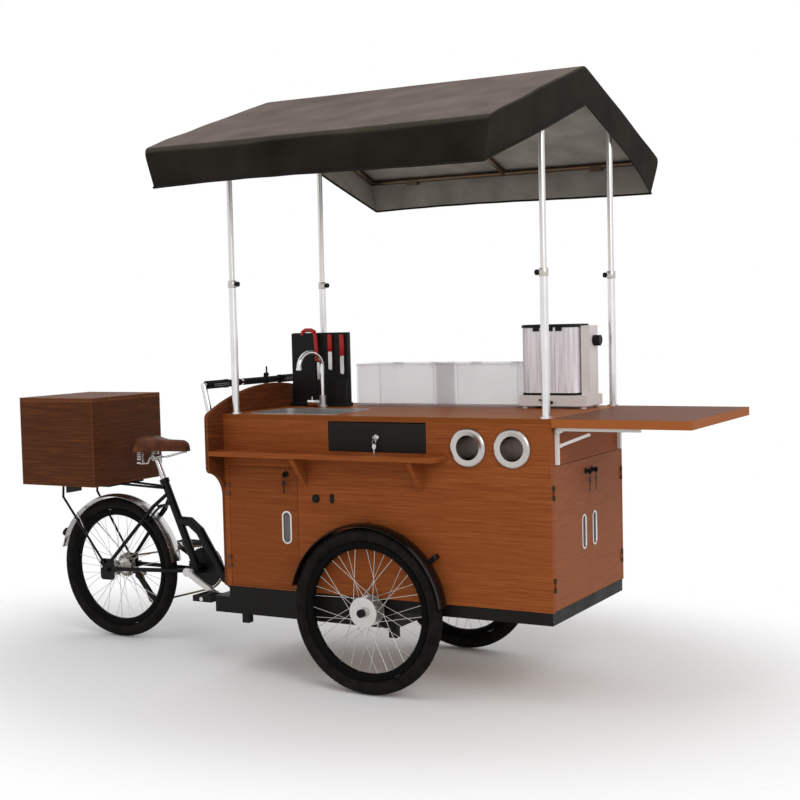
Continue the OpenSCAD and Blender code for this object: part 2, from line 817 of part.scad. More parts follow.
module pole_clamps() placed() color("black") {
    ring_h = 28;
    ring_w = 5;
    for (i = [0, 1], y = [-pole_y, pole_y])
        translate([pole_xs[i], y, counter_z + pole_l - ring_h / 2]) rotate([0, 0, 180 * i])
            difference() {
                union() {
                    cylinder(r = pole_r + ring_w, h = ring_h, center = true);
                    rotate([0, 90, 0]) cylinder(r = 4, h = pole_r + ring_w + 16);
                    translate([pole_r + ring_w + 8, 0, 0]) rotate([0, 90, 0]) cylinder(r = 11, h = 14);
                }
                cylinder(r = pole_r + fit, h = ring_h + 2, center = true);
            }
}

module cabinet_hinges() placed() color("dimgray") {
    at_near_door_hinges() fixed_knuckles();
    both_sides() at_front_door_hinges() fixed_knuckles();
}

// Sunk pull, cut into a board's front face at y = 0
module pull_cut() {
    translate([0, pull_d, pull_l / 2]) rotate([90, 0, 0]) linear_extrude(pull_d + 1)
        rounded_rect(pull_w, pull_l, pull_w / 2 - 0.1);
}

module near_door() placed() color("sienna") {
    difference() {
        translate([near_door_x, -half_w, near_door_z]) cube([near_door_w, panel_t, near_door_h]);
        translate([near_door_x + near_door_w - pull_edge, -half_w, base_z + pull_z - pull_l / 2]) pull_cut();
    }
    at_near_door_hinges() moving_knuckle();
}

// Near one of the two front doors
module front_door() {
    w = half_w - panel_t - 1.5 * door_gap;
    difference() {
        translate([cab_l - panel_t, -half_w + panel_t + door_gap, front_door_z])
            cube([panel_t, w, front_door_h]);
        translate([cab_l, -door_gap / 2 - pull_edge, base_z + pull_z - pull_l / 2])
            rotate([0, 0, 90]) pull_cut();
    }
    at_front_door_hinges() moving_knuckle();
}

module front_door_near() placed() color("sienna") front_door();

module front_door_far() placed() color("sienna") mirror([0, 1, 0]) front_door();

module drawer() placed() color("black") {
    side_gap = 6;
    box = [drawer_l - 2 * side_gap, drawer_d + 1, drawer_box_h];
    translate([drawer_x, -half_w, drawer_z]) cube([drawer_l, panel_t, drawer_h]);
    translate([drawer_x + side_gap, -half_w + panel_t - 1, deck_z + pass]) difference() {
        cube(box);
        translate([drawer_wall, drawer_wall + 1, drawer_wall])
            cube([box.x - 2 * drawer_wall, box.y - 2 * drawer_wall - 1, box.z]);
    }
}

module display_cases() placed() color("lightblue", 0.4) {
    for (i = [0, 1]) {
        translate([case_xs[i], case_y, counter_z]) difference() {
            cube([case_l, case_d, case_h]);
            translate([case_wall, case_wall, case_wall])
                cube([case_l - 2 * case_wall, case_d - 2 * case_wall, case_h]);
        }
        at_case_hinges(i) fixed_knuckles();
    }
}

module display_lid(i) {
    translate([case_xs[i], case_y, case_top + pass]) cube([case_l, case_d, case_wall]);
    at_case_hinges(i) moving_knuckle(case_wall);
}

module display_lid_left() placed() color("lightblue", 0.4) display_lid(0);

module display_lid_right() placed() color("lightblue", 0.4) display_lid(1);

module steamer_base() placed() color("silver") {
    foot_in = 18;
    base_l = column_x + column_l - steamer_x;
    inset = 40;
    translate([steamer_x, steamer_y, counter_z + steamer_foot_h]) cube([base_l, steamer_d, steamer_base_h]);
    for (x = [foot_in, base_l - foot_in], y = [foot_in, steamer_d - foot_in])
        translate([steamer_x + x, steamer_y + y, counter_z]) cylinder(r = 11, h = steamer_foot_h + 1);
    translate([column_x, steamer_y + inset, steamer_floor - 1])
        cube([column_l, steamer_d - 2 * inset, steamer_top - steamer_floor - 6]);
    translate([column_x + column_l - 1, steamer_y + steamer_d / 2, knob_z])
        rotate([0, 90, 0]) cylinder(r = 4, h = knob_l - 4);
}

module steamer_drum() placed() color("whitesmoke") {
    wall = 3;
    corner = 30;
    lid_z = steamer_top - steamer_lid_h;
    mid = [steamer_x + steamer_l / 2, steamer_y + steamer_d / 2];
    translate([mid.x, mid.y, steamer_floor]) difference() {
        linear_extrude(lid_z - pass - steamer_floor) rounded_rect(steamer_l - 12, steamer_d - 12, corner);
        translate([0, 0, wall]) linear_extrude(steamer_h)
            rounded_rect(steamer_l - 12 - 2 * wall, steamer_d - 12 - 2 * wall, corner - wall);
    }
    translate([mid.x, mid.y, lid_z]) linear_extrude(steamer_lid_h)
        rounded_rect(steamer_l - 4, steamer_d - 4, corner + 4);
    bent_tube([for (p = [[8, 40], [-12, 40], [-12, 215], [8, 215]])
        [mid.x, steamer_y + p.x, steamer_floor + p.y]], 5);
}

module steamer_knob() placed() color("black") {
    translate([column_x + column_l + pass, steamer_y + steamer_d / 2, knob_z]) rotate([0, 90, 0])
        difference() {
            union() {
                cylinder(r = knob_r, h = knob_l);
                translate([0, -3, 0]) cube([knob_r + 4, 6, knob_l]);
            }
            translate([0, 0, -1]) cylinder(r = 4 + fit, h = knob_l - 3);
        }
}

module utensil_rack() placed() color("black") {
    foot_d = 40;
    foot_h = 16;
    board_y = rack_y + foot_d - 12;
    translate([rack_x, rack_y, counter_z]) cube([rack_l, foot_d + rack_t, foot_h]);
    translate([rack_x, board_y, counter_z]) cube([rack_l, rack_t, rack_h]);
    for (i = [0 : 2]) translate([rack_x + 120 + 55 * i, board_y - pass, counter_z + 105]) {
        translate([-9, -12, 70]) cube([18, 12, 115]);
        translate([-13, -2, 0]) cube([26, 2, 71]);
    }
}

module end_leaf() placed() color("chocolate") {
    translate([leaf_x, -half_w, leaf_z]) cube([leaf_l, cab_w, leaf_t]);
}

module leaf_bracket_legs() placed() color("whitesmoke") {
    leg_t = 12;
    leg_z = fascia_z + 3;
    mid_y = bracket_y - bracket_w;
    both_sides() {
        translate([cab_l, -mid_y, leg_z]) cube([leg_t, bracket_w, pivot_z + 8 - leg_z]);
        cross_pin(pivot_x, pivot_z, -mid_y, -mid_y + bracket_w, 9);
        translate([cab_l, -mid_y, pivot_z - 9]) cube([pivot_x - cab_l, bracket_w, 17]);
        cross_pin(pivot_x, pivot_z, -bracket_y + pass, -mid_y + 1, 4);
        cross_pin(strut_x, strut_z, -mid_y, -mid_y + bracket_w / 2, 7);
        translate([cab_l, -mid_y, strut_z - 7]) cube([strut_x - cab_l, bracket_w / 2, 14]);
        cross_pin(strut_x, strut_z, -mid_y + 1, -mid_y + bracket_w, 3);
    }
}

module leaf_bracket_arms() placed() color("whitesmoke") {
    both_sides() difference() {
        union() {
            translate([pivot_x, -bracket_y, pivot_z]) cube([arm_l, bracket_w - pass, leaf_pivot_drop]);
            cross_pin(pivot_x, pivot_z, -bracket_y, -bracket_y + bracket_w - pass, 9);
        }
        cross_pin(pivot_x, pivot_z, -bracket_y - 1, -bracket_y + bracket_w, 4 + fit);
    }
}

module leaf_struts() placed() color("whitesmoke") {
    y0 = -bracket_y + 1.5 * bracket_w + pass;
    t = bracket_w / 2 - pass;
    both_sides() translate([strut_x, y0, strut_z]) rotate([0, -strut_rise, 0]) difference() {
        union() {
            translate([0, 0, -5]) cube([strut_l, t, 10]);
            for (x = [0, strut_l]) cross_pin(x, 0, 0, t, 6);
        }
        cross_pin(0, 0, -1, t + 1, 3 + fit);
    }
}

module handlebar() placed() color("silver") {
    y = bar_w / 2;
    bent_tube([[-head_t, -y, bar_foot_z], [bar_foot_x, -y, bar_foot_z], [bar_x, -y, bar_z],
        [bar_x, y, bar_z], [bar_foot_x, y, bar_foot_z], [-head_t, y, bar_foot_z]], bar_r);
    for (s = [-1, 1]) translate([-head_t - 5, s * y, bar_foot_z]) rotate([0, 90, 0]) cylinder(r = 24, h = 5);
}

module handlebar_grips() placed() color("black") {
    difference() {
        union() {
            both_sides() {
                cross_pin(bar_x, bar_z, -grip_end, -grip_end + grip_l, grip_r);
                cross_pin(bar_x, bar_z, -clamp_y - 9, -clamp_y + 9, bar_r + 6);
                for (z = [-12, 7]) translate([bar_x, -clamp_y - 9, bar_z + z]) cube([36, 18, 5]);
                translate([lever_x, -clamp_y, bar_z - 12]) cylinder(r = 3, h = 24);
            }
            cross_pin(bar_x, bar_z, shifter_y - 10, shifter_y - 2, bar_r + 6);
            translate([bar_x - 7, shifter_y - 10, bar_z]) cube([14, 8, shifter_z - bar_z]);
            cross_pin(bar_x, shifter_z, shifter_y - 10, shifter_y - 2, 8);
            cross_pin(bar_x, shifter_z, shifter_y - 3, shifter_y + 6, 3.5);
        }
        cross_pin(bar_x, bar_z, -bar_w / 2, bar_w / 2, bar_r + fit);
    }
}

// Brake lever of the near hand
module brake_lever() {
    tip_x = 20;
    difference() {
        union() {
            translate([lever_x, -clamp_y, bar_z - 6]) cylinder(r = 8, h = 12);
            rod([lever_x, -clamp_y, bar_z], [lever_x + tip_x, -clamp_y - lever_l, bar_z], 5);
            translate([lever_x + tip_x, -clamp_y - lever_l, bar_z]) sphere(r = 7);
        }
        translate([lever_x, -clamp_y, bar_z - 10]) cylinder(r = 3 + fit, h = 20);
    }
}

module brake_lever_near() placed() color("dimgray") brake_lever();

module brake_lever_far() placed() color("dimgray") mirror([0, 1, 0]) brake_lever();

module shifter_lever() placed() color("black") {
    y = shifter_y - 2 + pass;
    difference() {
        union() {
            cross_pin(bar_x, shifter_z, y, y + 7, 9);
            rod([bar_x, y + 3.5, shifter_z], [bar_x, y + 3.5, shifter_z + 34], 3.4);
        }
        cross_pin(bar_x, shifter_z, y - 1, y + 8, 3.5 + fit);
    }
}

// Canopy: roof planes seen from the end, as the height of the outer cloth at a distance from the ridge
canopy_x0 = canopy_in;
canopy_x1 = cab_l + canopy_over;
half_c = canopy_w / 2;
roof_pitch = atan(ridge_h / half_c);
function roof_z(y) = ridge_z - ridge_h * abs(y) / half_c;
rafter_xs = [pole_xs[0], (pole_xs[0] + pole_xs[1]) / 2, pole_xs[1]];
rafter_drop = cloth_t + (rafter_r + pass) / cos(roof_pitch);
eave_in = 21;

module canopy_frame() placed() color("silver") {
    eave_y = half_c - eave_in;
    low = rafter_drop + 2;
    mast_z = counter_z + pole_l - mast_overlap;
    mast_end = roof_z(pole_y) - rafter_drop;
    for (x = pole_xs, y = [-pole_y, pole_y])
        translate([x, y, mast_z]) cylinder(r = mast_r, h = mast_end - mast_z);
    for (x = rafter_xs, s = [-1, 1])
        rod([x, 0, ridge_z - rafter_drop], [x, s * eave_y, roof_z(eave_y) - rafter_drop], rafter_r);
    for (y = [-eave_y, 0, eave_y])
        rod([canopy_x0 + 10, y, roof_z(y) - low], [canopy_x1 - 10, y, roof_z(y) - low], rafter_r);
    for (x = [250, cab_l - 250], s = [-1, 1])
        translate([x - 25, s * eave_y - 12, roof_z(eave_y) - low - 20]) cube([50, 24, 22]);
}

// A cloth grid: rows of outer points, then rows of inner points, closed round its four edges
function quad(a, b, c, d) = [[a, b, c], [a, c, d]];
function grid_faces(ni, nj, n, turn) =
    [for (i = [0 : ni - 2], j = [0 : nj - 2]) let (p = n + i * nj + j)
        each turn ? quad(p, p + nj, p + nj + 1, p + 1) : quad(p, p + 1, p + nj + 1, p + nj)];
function edge_faces(from, step, count, n) =
    [for (k = [0 : count - 2]) let (p = from + k * step) each quad(p, n + p, n + p + step, p + step)];
function cloth_faces(ni, nj) =
    let (n = ni * nj)
    concat(grid_faces(ni, nj, 0, false), grid_faces(ni, nj, n, true),
        edge_faces((ni - 1) * nj, -nj, ni, n), edge_faces(nj - 1, nj, ni, n),
        edge_faces(0, 1, nj, n), edge_faces(n - 1, -1, nj, n));

// Cloth point at place u along the cart (0 to 1) and place v across it: the hanging edge of the near eave
// runs from v = -2 to -1, the roof from -1 to 1 over the ridge, and the far hanging edge from 1 to 2
function cloth_point(u, v, inner) =
    let (down = max(0, abs(v) - 1), side = sign(v), across = min(1, abs(v)),
        x = canopy_x0 + u * (canopy_x1 - canopy_x0), mid = (canopy_x0 + canopy_x1) / 2,
        span = (rafter_xs[1] - rafter_xs[0]),
        sag = cloth_sag * max(0, pow(sin(180 * (x - rafter_xs[0]) / span), 2) - 0.06) * sin(180 * across),
        wave = fold_d * down * sin(360 * folds * u) * sin(180 * u),
        t = inner ? cloth_t : 0)
    [x + (mid - x) / (mid - canopy_x0) * down * corner_in,
        side * (half_c * across - down * 12 - (across == 1 ? t : 0)) + side * wave,
        roof_z(half_c * across - (abs(v) == 1 ? t : 0)) - down * valance_h - sag - (down == 0 ? t : 0)];

// Cloth point of the gable's hanging edge at end e (0 rear, 1 front), v across from -1 to 1, w down from 0
function gable_point(e, v, w, inner) =
    let (y = v * half_c, inward = e == 0 ? 1 : -1,
        pull = corner_in * pow(max(0, (abs(y) - pole_y - 60) / (half_c - pole_y - 60)), 1.5) * w,
        x0 = e == 0 ? canopy_x0 : canopy_x1)
    [x0 + inward * (pull + 0.2 + (inner ? cloth_t : 0)),
        y - sign(v) * (12 * w * pow(abs(v), 8) + 0.2),
        roof_z(y) - 1 - (valance_h - 1) * w];

module gable_edge(e) {
    vs = [for (i = [-12 : 12]) i / 12];
    ws = [0, 0.5, 1];
    points = [for (inner = [false, true], v = vs, w = ws) gable_point(e, v, w, inner)];
    faces = cloth_faces(len(vs), len(ws));
    polyhedron(points, e == 0 ? faces : [for (f = faces) [f[2], f[1], f[0]]]);
}

module canopy_cover() placed() color("darkslategray") {
    us = [for (i = [0 : 20]) i / 20];
    vs = concat([-2, -1.5], [for (i = [-5 : 5]) i / 5], [1.5, 2]);
    points = [for (inner = [false, true], u = us, v = vs) cloth_point(u, v, inner)];
    polyhedron(points, cloth_faces(len(us), len(vs)));
    for (e = [0, 1]) gable_edge(e);
}

// Wheel parts, with the wheel's axis along y through the origin
module tyre() {
    rotate([90, 0, 0]) rotate_extrude() difference() {
        translate([wheel_r - tyre_w / 2, 0]) circle(r = tyre_w / 2);
        translate([0, -tyre_w]) square([rim_out_r + pass, 2 * tyre_w]);
    }
}

module rim() {
    e = rim_w / 2;
    rotate([90, 0, 0]) rotate_extrude()
        polygon([[rim_in_r, -e / 2], [rim_in_r + 7, -e], [rim_out_r, -e],
            [rim_out_r, e], [rim_in_r + 7, e], [rim_in_r, e / 2]]);
}

// Hub with its flanges at y = flanges and its spokes, alternately leading and trailing
module laced_hub(flanges, flange_r, barrel_r, bore_r, ends) {
    flange_t = 5;
    hole_r = flange_r - 5;
    lean = 40;
    seat = 3;
    difference() {
        union() {
            cross_pin(0, 0, ends[0], ends[1], barrel_r);
            for (y = flanges) cross_pin(0, 0, y - flange_t / 2, y + flange_t / 2, flange_r);
        }
        cross_pin(0, 0, ends[0] - 1, ends[1] + 1, bore_r);
    }
    for (i = [0 : spokes - 1]) {
        y = flanges[i % 2];
        lead = floor(i / 2) % 2 == 0 ? 1 : -1;
        a = i * 360 / spokes;
        rod([hole_r * cos(a - lead * lean), y + lead * 1.6, hole_r * sin(a - lead * lean)],
            [(rim_in_r + seat) * cos(a), (y > 0 ? 4 : -4) + lead * 0.5, (rim_in_r + seat) * sin(a)], spoke_r);
    }
}

module front_wheel_at(s) {
    translate([axle_x, s * wheel_y, axle_z]) children();
}

module rear_wheel_at() {
    translate([rear_x, 0, axle_z]) children();
}

module front_hub() {
    laced_hub([-28, 28], front_flange_r, spindle_r + 9, spindle_r + fit, [-hub_l / 2, hub_l / 2]);
}

module near_tyre() placed() color("black") front_wheel_at(-1) tyre();

module near_rim() placed() color("black") front_wheel_at(-1) rim();

module near_hub() placed() color("silver") front_wheel_at(-1) front_hub();

module far_tyre() placed() color("black") front_wheel_at(1) tyre();

module far_rim() placed() color("black") front_wheel_at(1) rim();

module far_hub() placed() color("silver") front_wheel_at(1) front_hub();

module rear_tyre() placed() color("black") rear_wheel_at() tyre();

module rear_rim() placed() color("black") rear_wheel_at() rim();

rear_hub_near = -36;
rear_hub_far = 60;
module rear_hub() placed() color("silver") mirror([0, 1, 0]) rear_wheel_at()
    laced_hub([-30, 30], rear_flange_r, rear_axle_r + 10, rear_axle_r + fit, [rear_hub_near, rear_hub_far]);

// Crowned strip round a wheel's axis (here z), from angle a0 to a1
module fender_strip(a0, a1) {
    half = asin(fender_w / 2 / crown_r);
    r0 = fender_r - crown_r;
    rotate([0, 0, a0]) rotate_extrude(angle = a1 - a0)
        polygon(concat(arc(r0, 0, crown_r, -half, half, 8), arc(r0, 0, crown_r - fender_t, half, -half, 8)));
}

module near_fender() {
    bracket_a = 38;
    edge_r = fender_r - 14;
    translate([axle_x, -wheel_y, axle_z]) rotate([90, 0, 0]) {
        fender_strip(7, 167);
        for (a = [bracket_a, 92, 150]) rotate([0, 0, a])
            translate([edge_r, -8, -wheel_out]) cube([10, 16, wheel_out - fender_w / 2 + 8]);
        rotate([0, 0, bracket_a]) {
            translate([edge_r, -8, -wheel_out]) cube([40, 16, 10]);
            translate([fender_r + 16, 0, -wheel_out]) cylinder(r = 10, h = 24);
        }
    }
}

module front_fenders() placed() color("black") both_sides() near_fender();

// Places on a rear dropout, from the wheel's axle
carrier_lug = [-19, 33];
fender_lug = [-29, 13];
hanger = [17, -35];

module rear_fender() placed() color("silver") {
    stay_a = 132;
    stay_wire = 3;
    stay_bend = 38;
    flap_l = 45;
    edge = (fender_r - 8) * [cos(stay_a), sin(stay_a)];
    rear_wheel_at() {
        rotate([90, 0, 0]) {
            fender_strip(8, 160);
            rotate([0, 0, 159]) translate([fender_r - 6, 0, -fender_w / 3])
                cube([4, flap_l, fender_w * 2 / 3]);
        }
        both_sides() {
            y = -dropout_y - 4;
            bend = fender_lug + stay_bend * (edge - fender_lug) / norm(edge - fender_lug);
            bent_tube([[edge.x, -fender_w / 2 + 2, edge.y], [bend.x, y, bend.y],
                [fender_lug.x, y, fender_lug.y]], stay_wire);
            cross_pin(fender_lug.x, fender_lug.y, -dropout_y, y - 4, 5);
        }
    }
}

module bike_frame() placed() color("black") {
    difference() {
        union() {
            rod(seat_at(0), seat_at(seat_tube_l), seat_tube_r);
            rod(seat_at(seat_tube_l - 18), seat_at(seat_tube_l), seat_tube_r + 4);
            cross_pin(crank_x, crank_z, -34, 34, 22);
            main_tube();
            both_sides() rear_stays();
            mirror([0, 1, 0]) rear_axle();
            yoke();
        }
        rod(seat_at(190), seat_at(seat_tube_l + 1), post_r + fit);
        cross_pin(crank_x, crank_z, -40, 40, crank_spindle_r + fit);
    }
}
crank_spindle_r = 12;

// Curved tube from the seat tube over the crank and down to the steering pivot
module main_tube() {
    bent_tube([seat_at(222), [crank_x - 30, 0, crank_z + 202], [crank_x + 20, 0, crank_z + 165],
        [crank_x + 145, 0, crank_z - 27], [-pivot_back - 115, 0, rail_z + 24],
        [-pivot_back - 45, 0, rail_z + 22]], main_tube_r);
}

// Chain stay, seat stay and dropout of the near side
module rear_stays() {
    y = -dropout_y + dropout_t / 2;
    top = seat_at(348);
    rod([crank_x, -24, crank_z - 2], [rear_x + 45, y + 4, axle_z + 4], stay_r);
    cross_pin(rear_x + 38, axle_z + 4, y - stay_r + 2.7, y + stay_r + 4.5, 13);
    bent_tube([[top.x, -10, top.z], [top.x - 52, -46, top.z - 55],
        [rear_x + 10, y, axle_z + 34]], stay_r - 1);
    translate([rear_x - 6, -dropout_y, axle_z + 2]) rotate([-90, 0, 0]) linear_extrude(dropout_t)
        rounded_rect(74, 92, 14);
}

// Rear axle with its nuts and the spacers beside the hub and the cogs
module rear_axle() {
    inside = dropout_y - dropout_t;
    cluster_end = cog_y(0) - 3 - pass;
    cross_pin(rear_x, axle_z, -dropout_y - 14, dropout_y + 14, rear_axle_r);
    for (s = [-1, 1]) cross_pin(rear_x, axle_z, s * (dropout_y - 1), s * (dropout_y + 9), rear_axle_r + 4);
    cross_pin(rear_x, axle_z, -inside - 1, cluster_end, rear_axle_r + 3);
    cross_pin(rear_x, axle_z, rear_hub_far + pass, inside + 1, rear_axle_r + 3);
}

// Fork of the steering pivot, with the pin through it
module yoke() {
    plate = 10;
    head = 8;
    half = pivot_r - 4;
    back_x = -pivot_back - pivot_r - 40;
    low = rail_z - pass - plate;
    high = skirt_z + pass;
    for (z = [low, high]) {
        translate([-pivot_back, 0, z]) cylinder(r = pivot_r - 2, h = plate);
        translate([back_x, -half, z]) cube([-pivot_back - back_x, 2 * half, plate]);
    }
    translate([back_x, -half, low]) cube([34, 2 * half, high + plate - low]);
    translate([-pivot_back, 0, low - head]) cylinder(r = kingpin_r, h = high + plate - low + 2 * head);
    for (z = [low - head, high + plate]) translate([-pivot_back, 0, z]) cylinder(r = kingpin_r + 7, h = head);
}

module seat_post() placed() color("silver") {
    clamp = post_top + [0, 0, 8];
    rod(seat_at(seat_tube_l - post_in), post_top, post_r);
    cross_pin(post_top.x, clamp.z, -26, 26, 12);
    both_sides() {
        bent_tube([[post_top.x + 150, -8, saddle_z - 4], [post_top.x + 40, -20, clamp.z],
            [post_top.x - 18, -22, clamp.z], [post_top.x - 24, -30, spring_base.z - 8],
            [spring_base.x, -52, spring_base.z - 8]], 3.5);
        translate([spring_base.x, -52, spring_base.z - 6]) cylinder(r = spring_r + 4, h = 6 - pass);
        translate([post_top.x + 150, -8, saddle_z - 8]) cylinder(r = 6, h = 8 - pass);
    }
}

// Spring wire: a straight leg, the curls, and a straight leg at the top
spring_leg = 2 * wire_r;
function spring_path() =
    let (steps = 8 * spring_curls, rise = spring_h - 2 * spring_leg)
    concat([[spring_r, 0, 0]],
        [for (i = [0 : steps]) let (a = 45 * i)
            [spring_r * cos(a), spring_r * sin(a), spring_leg + rise * i / steps]],
        [[spring_r, 0, spring_h]]);

// Tube of six sides along a path of points
module wire(path, r) {
    n = len(path);
    sides = 6;
    ahead = [for (i = [0 : n - 1]) let (d = path[min(n - 1, i + 1)] - path[max(0, i - 1)]) d / norm(d)];
    out = [for (i = [0 : n - 1])
        let (q = [path[i].x, path[i].y, 0], o = q - (q * ahead[i]) * ahead[i]) o / norm(o)];
    points = [for (i = [0 : n - 1], k = [0 : sides - 1]) let (a = 360 * k / sides)
        path[i] + r * (cos(a) * out[i] + sin(a) * cross(ahead[i], out[i]))];
    sleeve = [for (i = [0 : n - 2], k = [0 : sides - 1]) let (m = (k + 1) % sides)
        each quad(i * sides + k, (i + 1) * sides + k, (i + 1) * sides + m, i * sides + m)];
    caps = [for (k = [1 : sides - 2]) each [[0, k, k + 1],
        [(n - 1) * sides, (n - 1) * sides + k + 1, (n - 1) * sides + k]]];
    polyhedron(points, concat(sleeve, caps));
}

// Least gap between the curls of a spring, measured on its points
function least_gap(path, r, apart) =
    let (n = len(path))
    min([for (i = [0 : n - 1 - apart], j = [i + apart : n - 1]) norm(path[i] - path[j])]) - 2 * r;
echo(least_gap_of_a_saddle_spring = least_gap(spring_path(), wire_r, 6));

module saddle_springs() placed() color("silver") {
    both_sides() translate([spring_base.x, -52, spring_base.z]) wire(spring_path(), wire_r);
}

// Saddle: half widths and heights as shares of the whole, from the rear to the nose
saddle_width = [[0, 0.5], [0.04, 0.74], [0.1, 0.92], [0.2, 1], [0.32, 0.9], [0.45, 0.62], [0.58, 0.38],
    [0.75, 0.27], [0.9, 0.23], [0.97, 0.17], [1, 0.1]];
saddle_crown = [[0, 0.5], [0.04, 0.78], [0.1, 0.96], [0.2, 1], [0.45, 0.86], [0.7, 0.8], [0.9, 0.76],
    [0.97, 0.62], [1, 0.4]];

module saddle() placed() color("saddlebrown") {
    sections = 24;
    sides = 16;
    points = [for (i = [0 : sections], k = [0 : sides - 1])
        let (u = i / sections, a = 360 * k / sides, w = saddle_w / 2 * lookup(u, saddle_width),
            h = saddle_h * lookup(u, saddle_crown), c = cos(a), s = sin(a))
        [u * saddle_l, w * sign(c) * pow(abs(c), 0.75), s > 0 ? h * pow(s, 0.85) : 0]];
    skin = [for (i = [0 : sections - 1], k = [0 : sides - 1]) let (m = (k + 1) % sides)
        each quad(i * sides + k, (i + 1) * sides + k, (i + 1) * sides + m, i * sides + m)];
    last = sections * sides;
    top = sides / 4;
    caps = [for (k = [1 : sides - 2]) let (p = (top + k) % sides, q = (top + k + 1) % sides)
        each [[top, p, q], [last + top, last + q, last + p]]];
    translate([post_top.x - saddle_back, 0, saddle_z]) polyhedron(points, concat(skin, caps));
}

// Toothed wheel outline, its tooth tips on radius r
module toothed(n, r) {
    root = r - 4;
    polygon([for (i = [0 : n - 1], q = [[root, 0], [root, 0.3], [r, 0.5], [r, 0.8]])
        let (a = 360 * (i + q.y) / n) [q.x * cos(a), q.x * sin(a)]]);
}

module crank_arms() placed() color("silver") {
    hand = arm_y + arm_t;
    end_y = pedal_y + pedal_l + 6;
    translate([crank_x, 0, crank_z]) {
        cross_pin(0, 0, -hand + 1, hand - 1, crank_spindle_r);
        for (s = [-1, 1]) rotate([0, s < 0 ? crank_turn : crank_turn + 180, 0]) {
            translate([0, s < 0 ? -hand : arm_y, -11]) cube([crank_l, arm_t, 22]);
            for (x = [0, crank_l]) cross_pin(x, 0, s * arm_y, s * hand, x == 0 ? 18 : 14);
            cross_pin(crank_l, 0, s * (hand - 1), s * end_y, pedal_axle_r);
            cross_pin(crank_l, 0, s * (end_y - 6 + pass), s * end_y, pedal_axle_r + 3);
        }
    }
}

module chainring() placed() color("black") {
    ring_t = 3;
    inner_r = ring_r - 24;
    translate([crank_x, chain_y, crank_z]) rotate([-90, 0, 0]) {
        difference() {
            union() {
                linear_extrude(ring_t, center = true) difference() {
                    toothed(ring_teeth, ring_r - chain_h / 2 - 0.5);
                    circle(r = inner_r);
                }
                for (i = [0 : 4]) rotate([0, 0, 72 * i])
                    translate([0, -9, -ring_t / 2]) cube([inner_r + 4, 18, ring_t]);
                translate([0, 0, -ring_t / 2]) cylinder(r = 26, h = arm_y - chain_y + ring_t / 2);
            }
            cylinder(r = crank_spindle_r + fit, h = 60, center = true);
        }
    }
}

// Pedal of the near side when s is -1, of the far side when s is 1
module pedal(s) {
    a = s < 0 ? crank_turn : crank_turn + 180;
    block_h = 24;
    at = [crank_x + crank_l * cos(a), 0, crank_z - crank_l * sin(a)];
    translate(at) difference() {
        translate([-pedal_w / 2, s < 0 ? -pedal_y - pedal_l : pedal_y, -block_h / 2]) difference() {
            cube([pedal_w, pedal_l, block_h]);
            for (x = [14, pedal_w / 2 + 14]) translate([x, 14, -1])
                cube([pedal_w / 2 - 28, pedal_l - 28, block_h + 2]);
        }
        cross_pin(0, 0, -pedal_y - pedal_l - 1, pedal_y + pedal_l + 1, pedal_axle_r + fit);
    }
}

module pedal_near() placed() color("black") pedal(-1);

module pedal_far() placed() color("black") pedal(1);

module sprocket_cluster() placed() color("dimgray") mirror([0, 1, 0]) {
    cog_t = 2;
    last = len(cog_teeth) - 1;
    rear_wheel_at() difference() {
        union() {
            cross_pin(0, 0, cog_y(0) - 3, cog_y(last) + 3 - pass, 19);
            for (i = [0 : last]) translate([0, cog_y(i), 0]) rotate([90, 0, 0])
                linear_extrude(cog_t, center = true) toothed(cog_teeth[i], cog_r(i) - chain_h / 2 - 0.5);
        }
        cross_pin(0, 0, -100, 0, rear_axle_r + fit);
    }
}

module derailleur() placed() color("dimgray") mirror([0, 1, 0]) {
    cage_t = 2;
    pulley_t = 5;
    out_y = -chain_y - 9;
    in_y = -chain_y + 7;
    run = norm(lower_pulley - upper_pulley);
    slope = atan2(upper_pulley.y - lower_pulley.y, lower_pulley.x - upper_pulley.x);
    for (y = [out_y, in_y]) translate([upper_pulley.x, y, upper_pulley.y]) rotate([0, slope, 0]) {
        translate([0, 0, -9]) cube([run, cage_t, 18]);
        for (x = [0, run]) cross_pin(x, 0, 0, cage_t, 13);
    }
    for (p = [upper_pulley, lower_pulley]) {
        cross_pin(p.x, p.y, out_y, in_y + cage_t, 4);
        cross_pin(p.x, p.y, -chain_y - pulley_t / 2, -chain_y + pulley_t / 2, pulley_r);
    }
    bolt = [rear_x + hanger.x, axle_z + hanger.y];
    cross_pin(bolt.x, bolt.y, -dropout_y, -dropout_y - 16, 9);
    rod([bolt.x, -dropout_y - 9, bolt.y], [upper_pulley.x, -dropout_y - 9, upper_pulley.y], 7);
    cross_pin(upper_pulley.x, upper_pulley.y, -dropout_y - 16, out_y + 1, 8);
}

// Chain: wheels it runs on in order, each with its middle, pitch radius and turning sense (1 left, -1 right)
chain_wheels = [[[crank_x, crank_z], ring_r, 1], [[rear_x, axle_z], cog_r(drive_cog), 1],
    [upper_pulley, pulley_r + chain_h / 2 + 0.5, -1], [lower_pulley, pulley_r + chain_h / 2 + 0.5, 1]];

// Direction of the straight run from one wheel to the next
function run_angle(a, b) =
    let (d = b[0] - a[0], ra = a[1] * a[2], rb = b[1] * b[2])
    atan2(d.y, d.x) + asin((ra - rb) / norm(d));

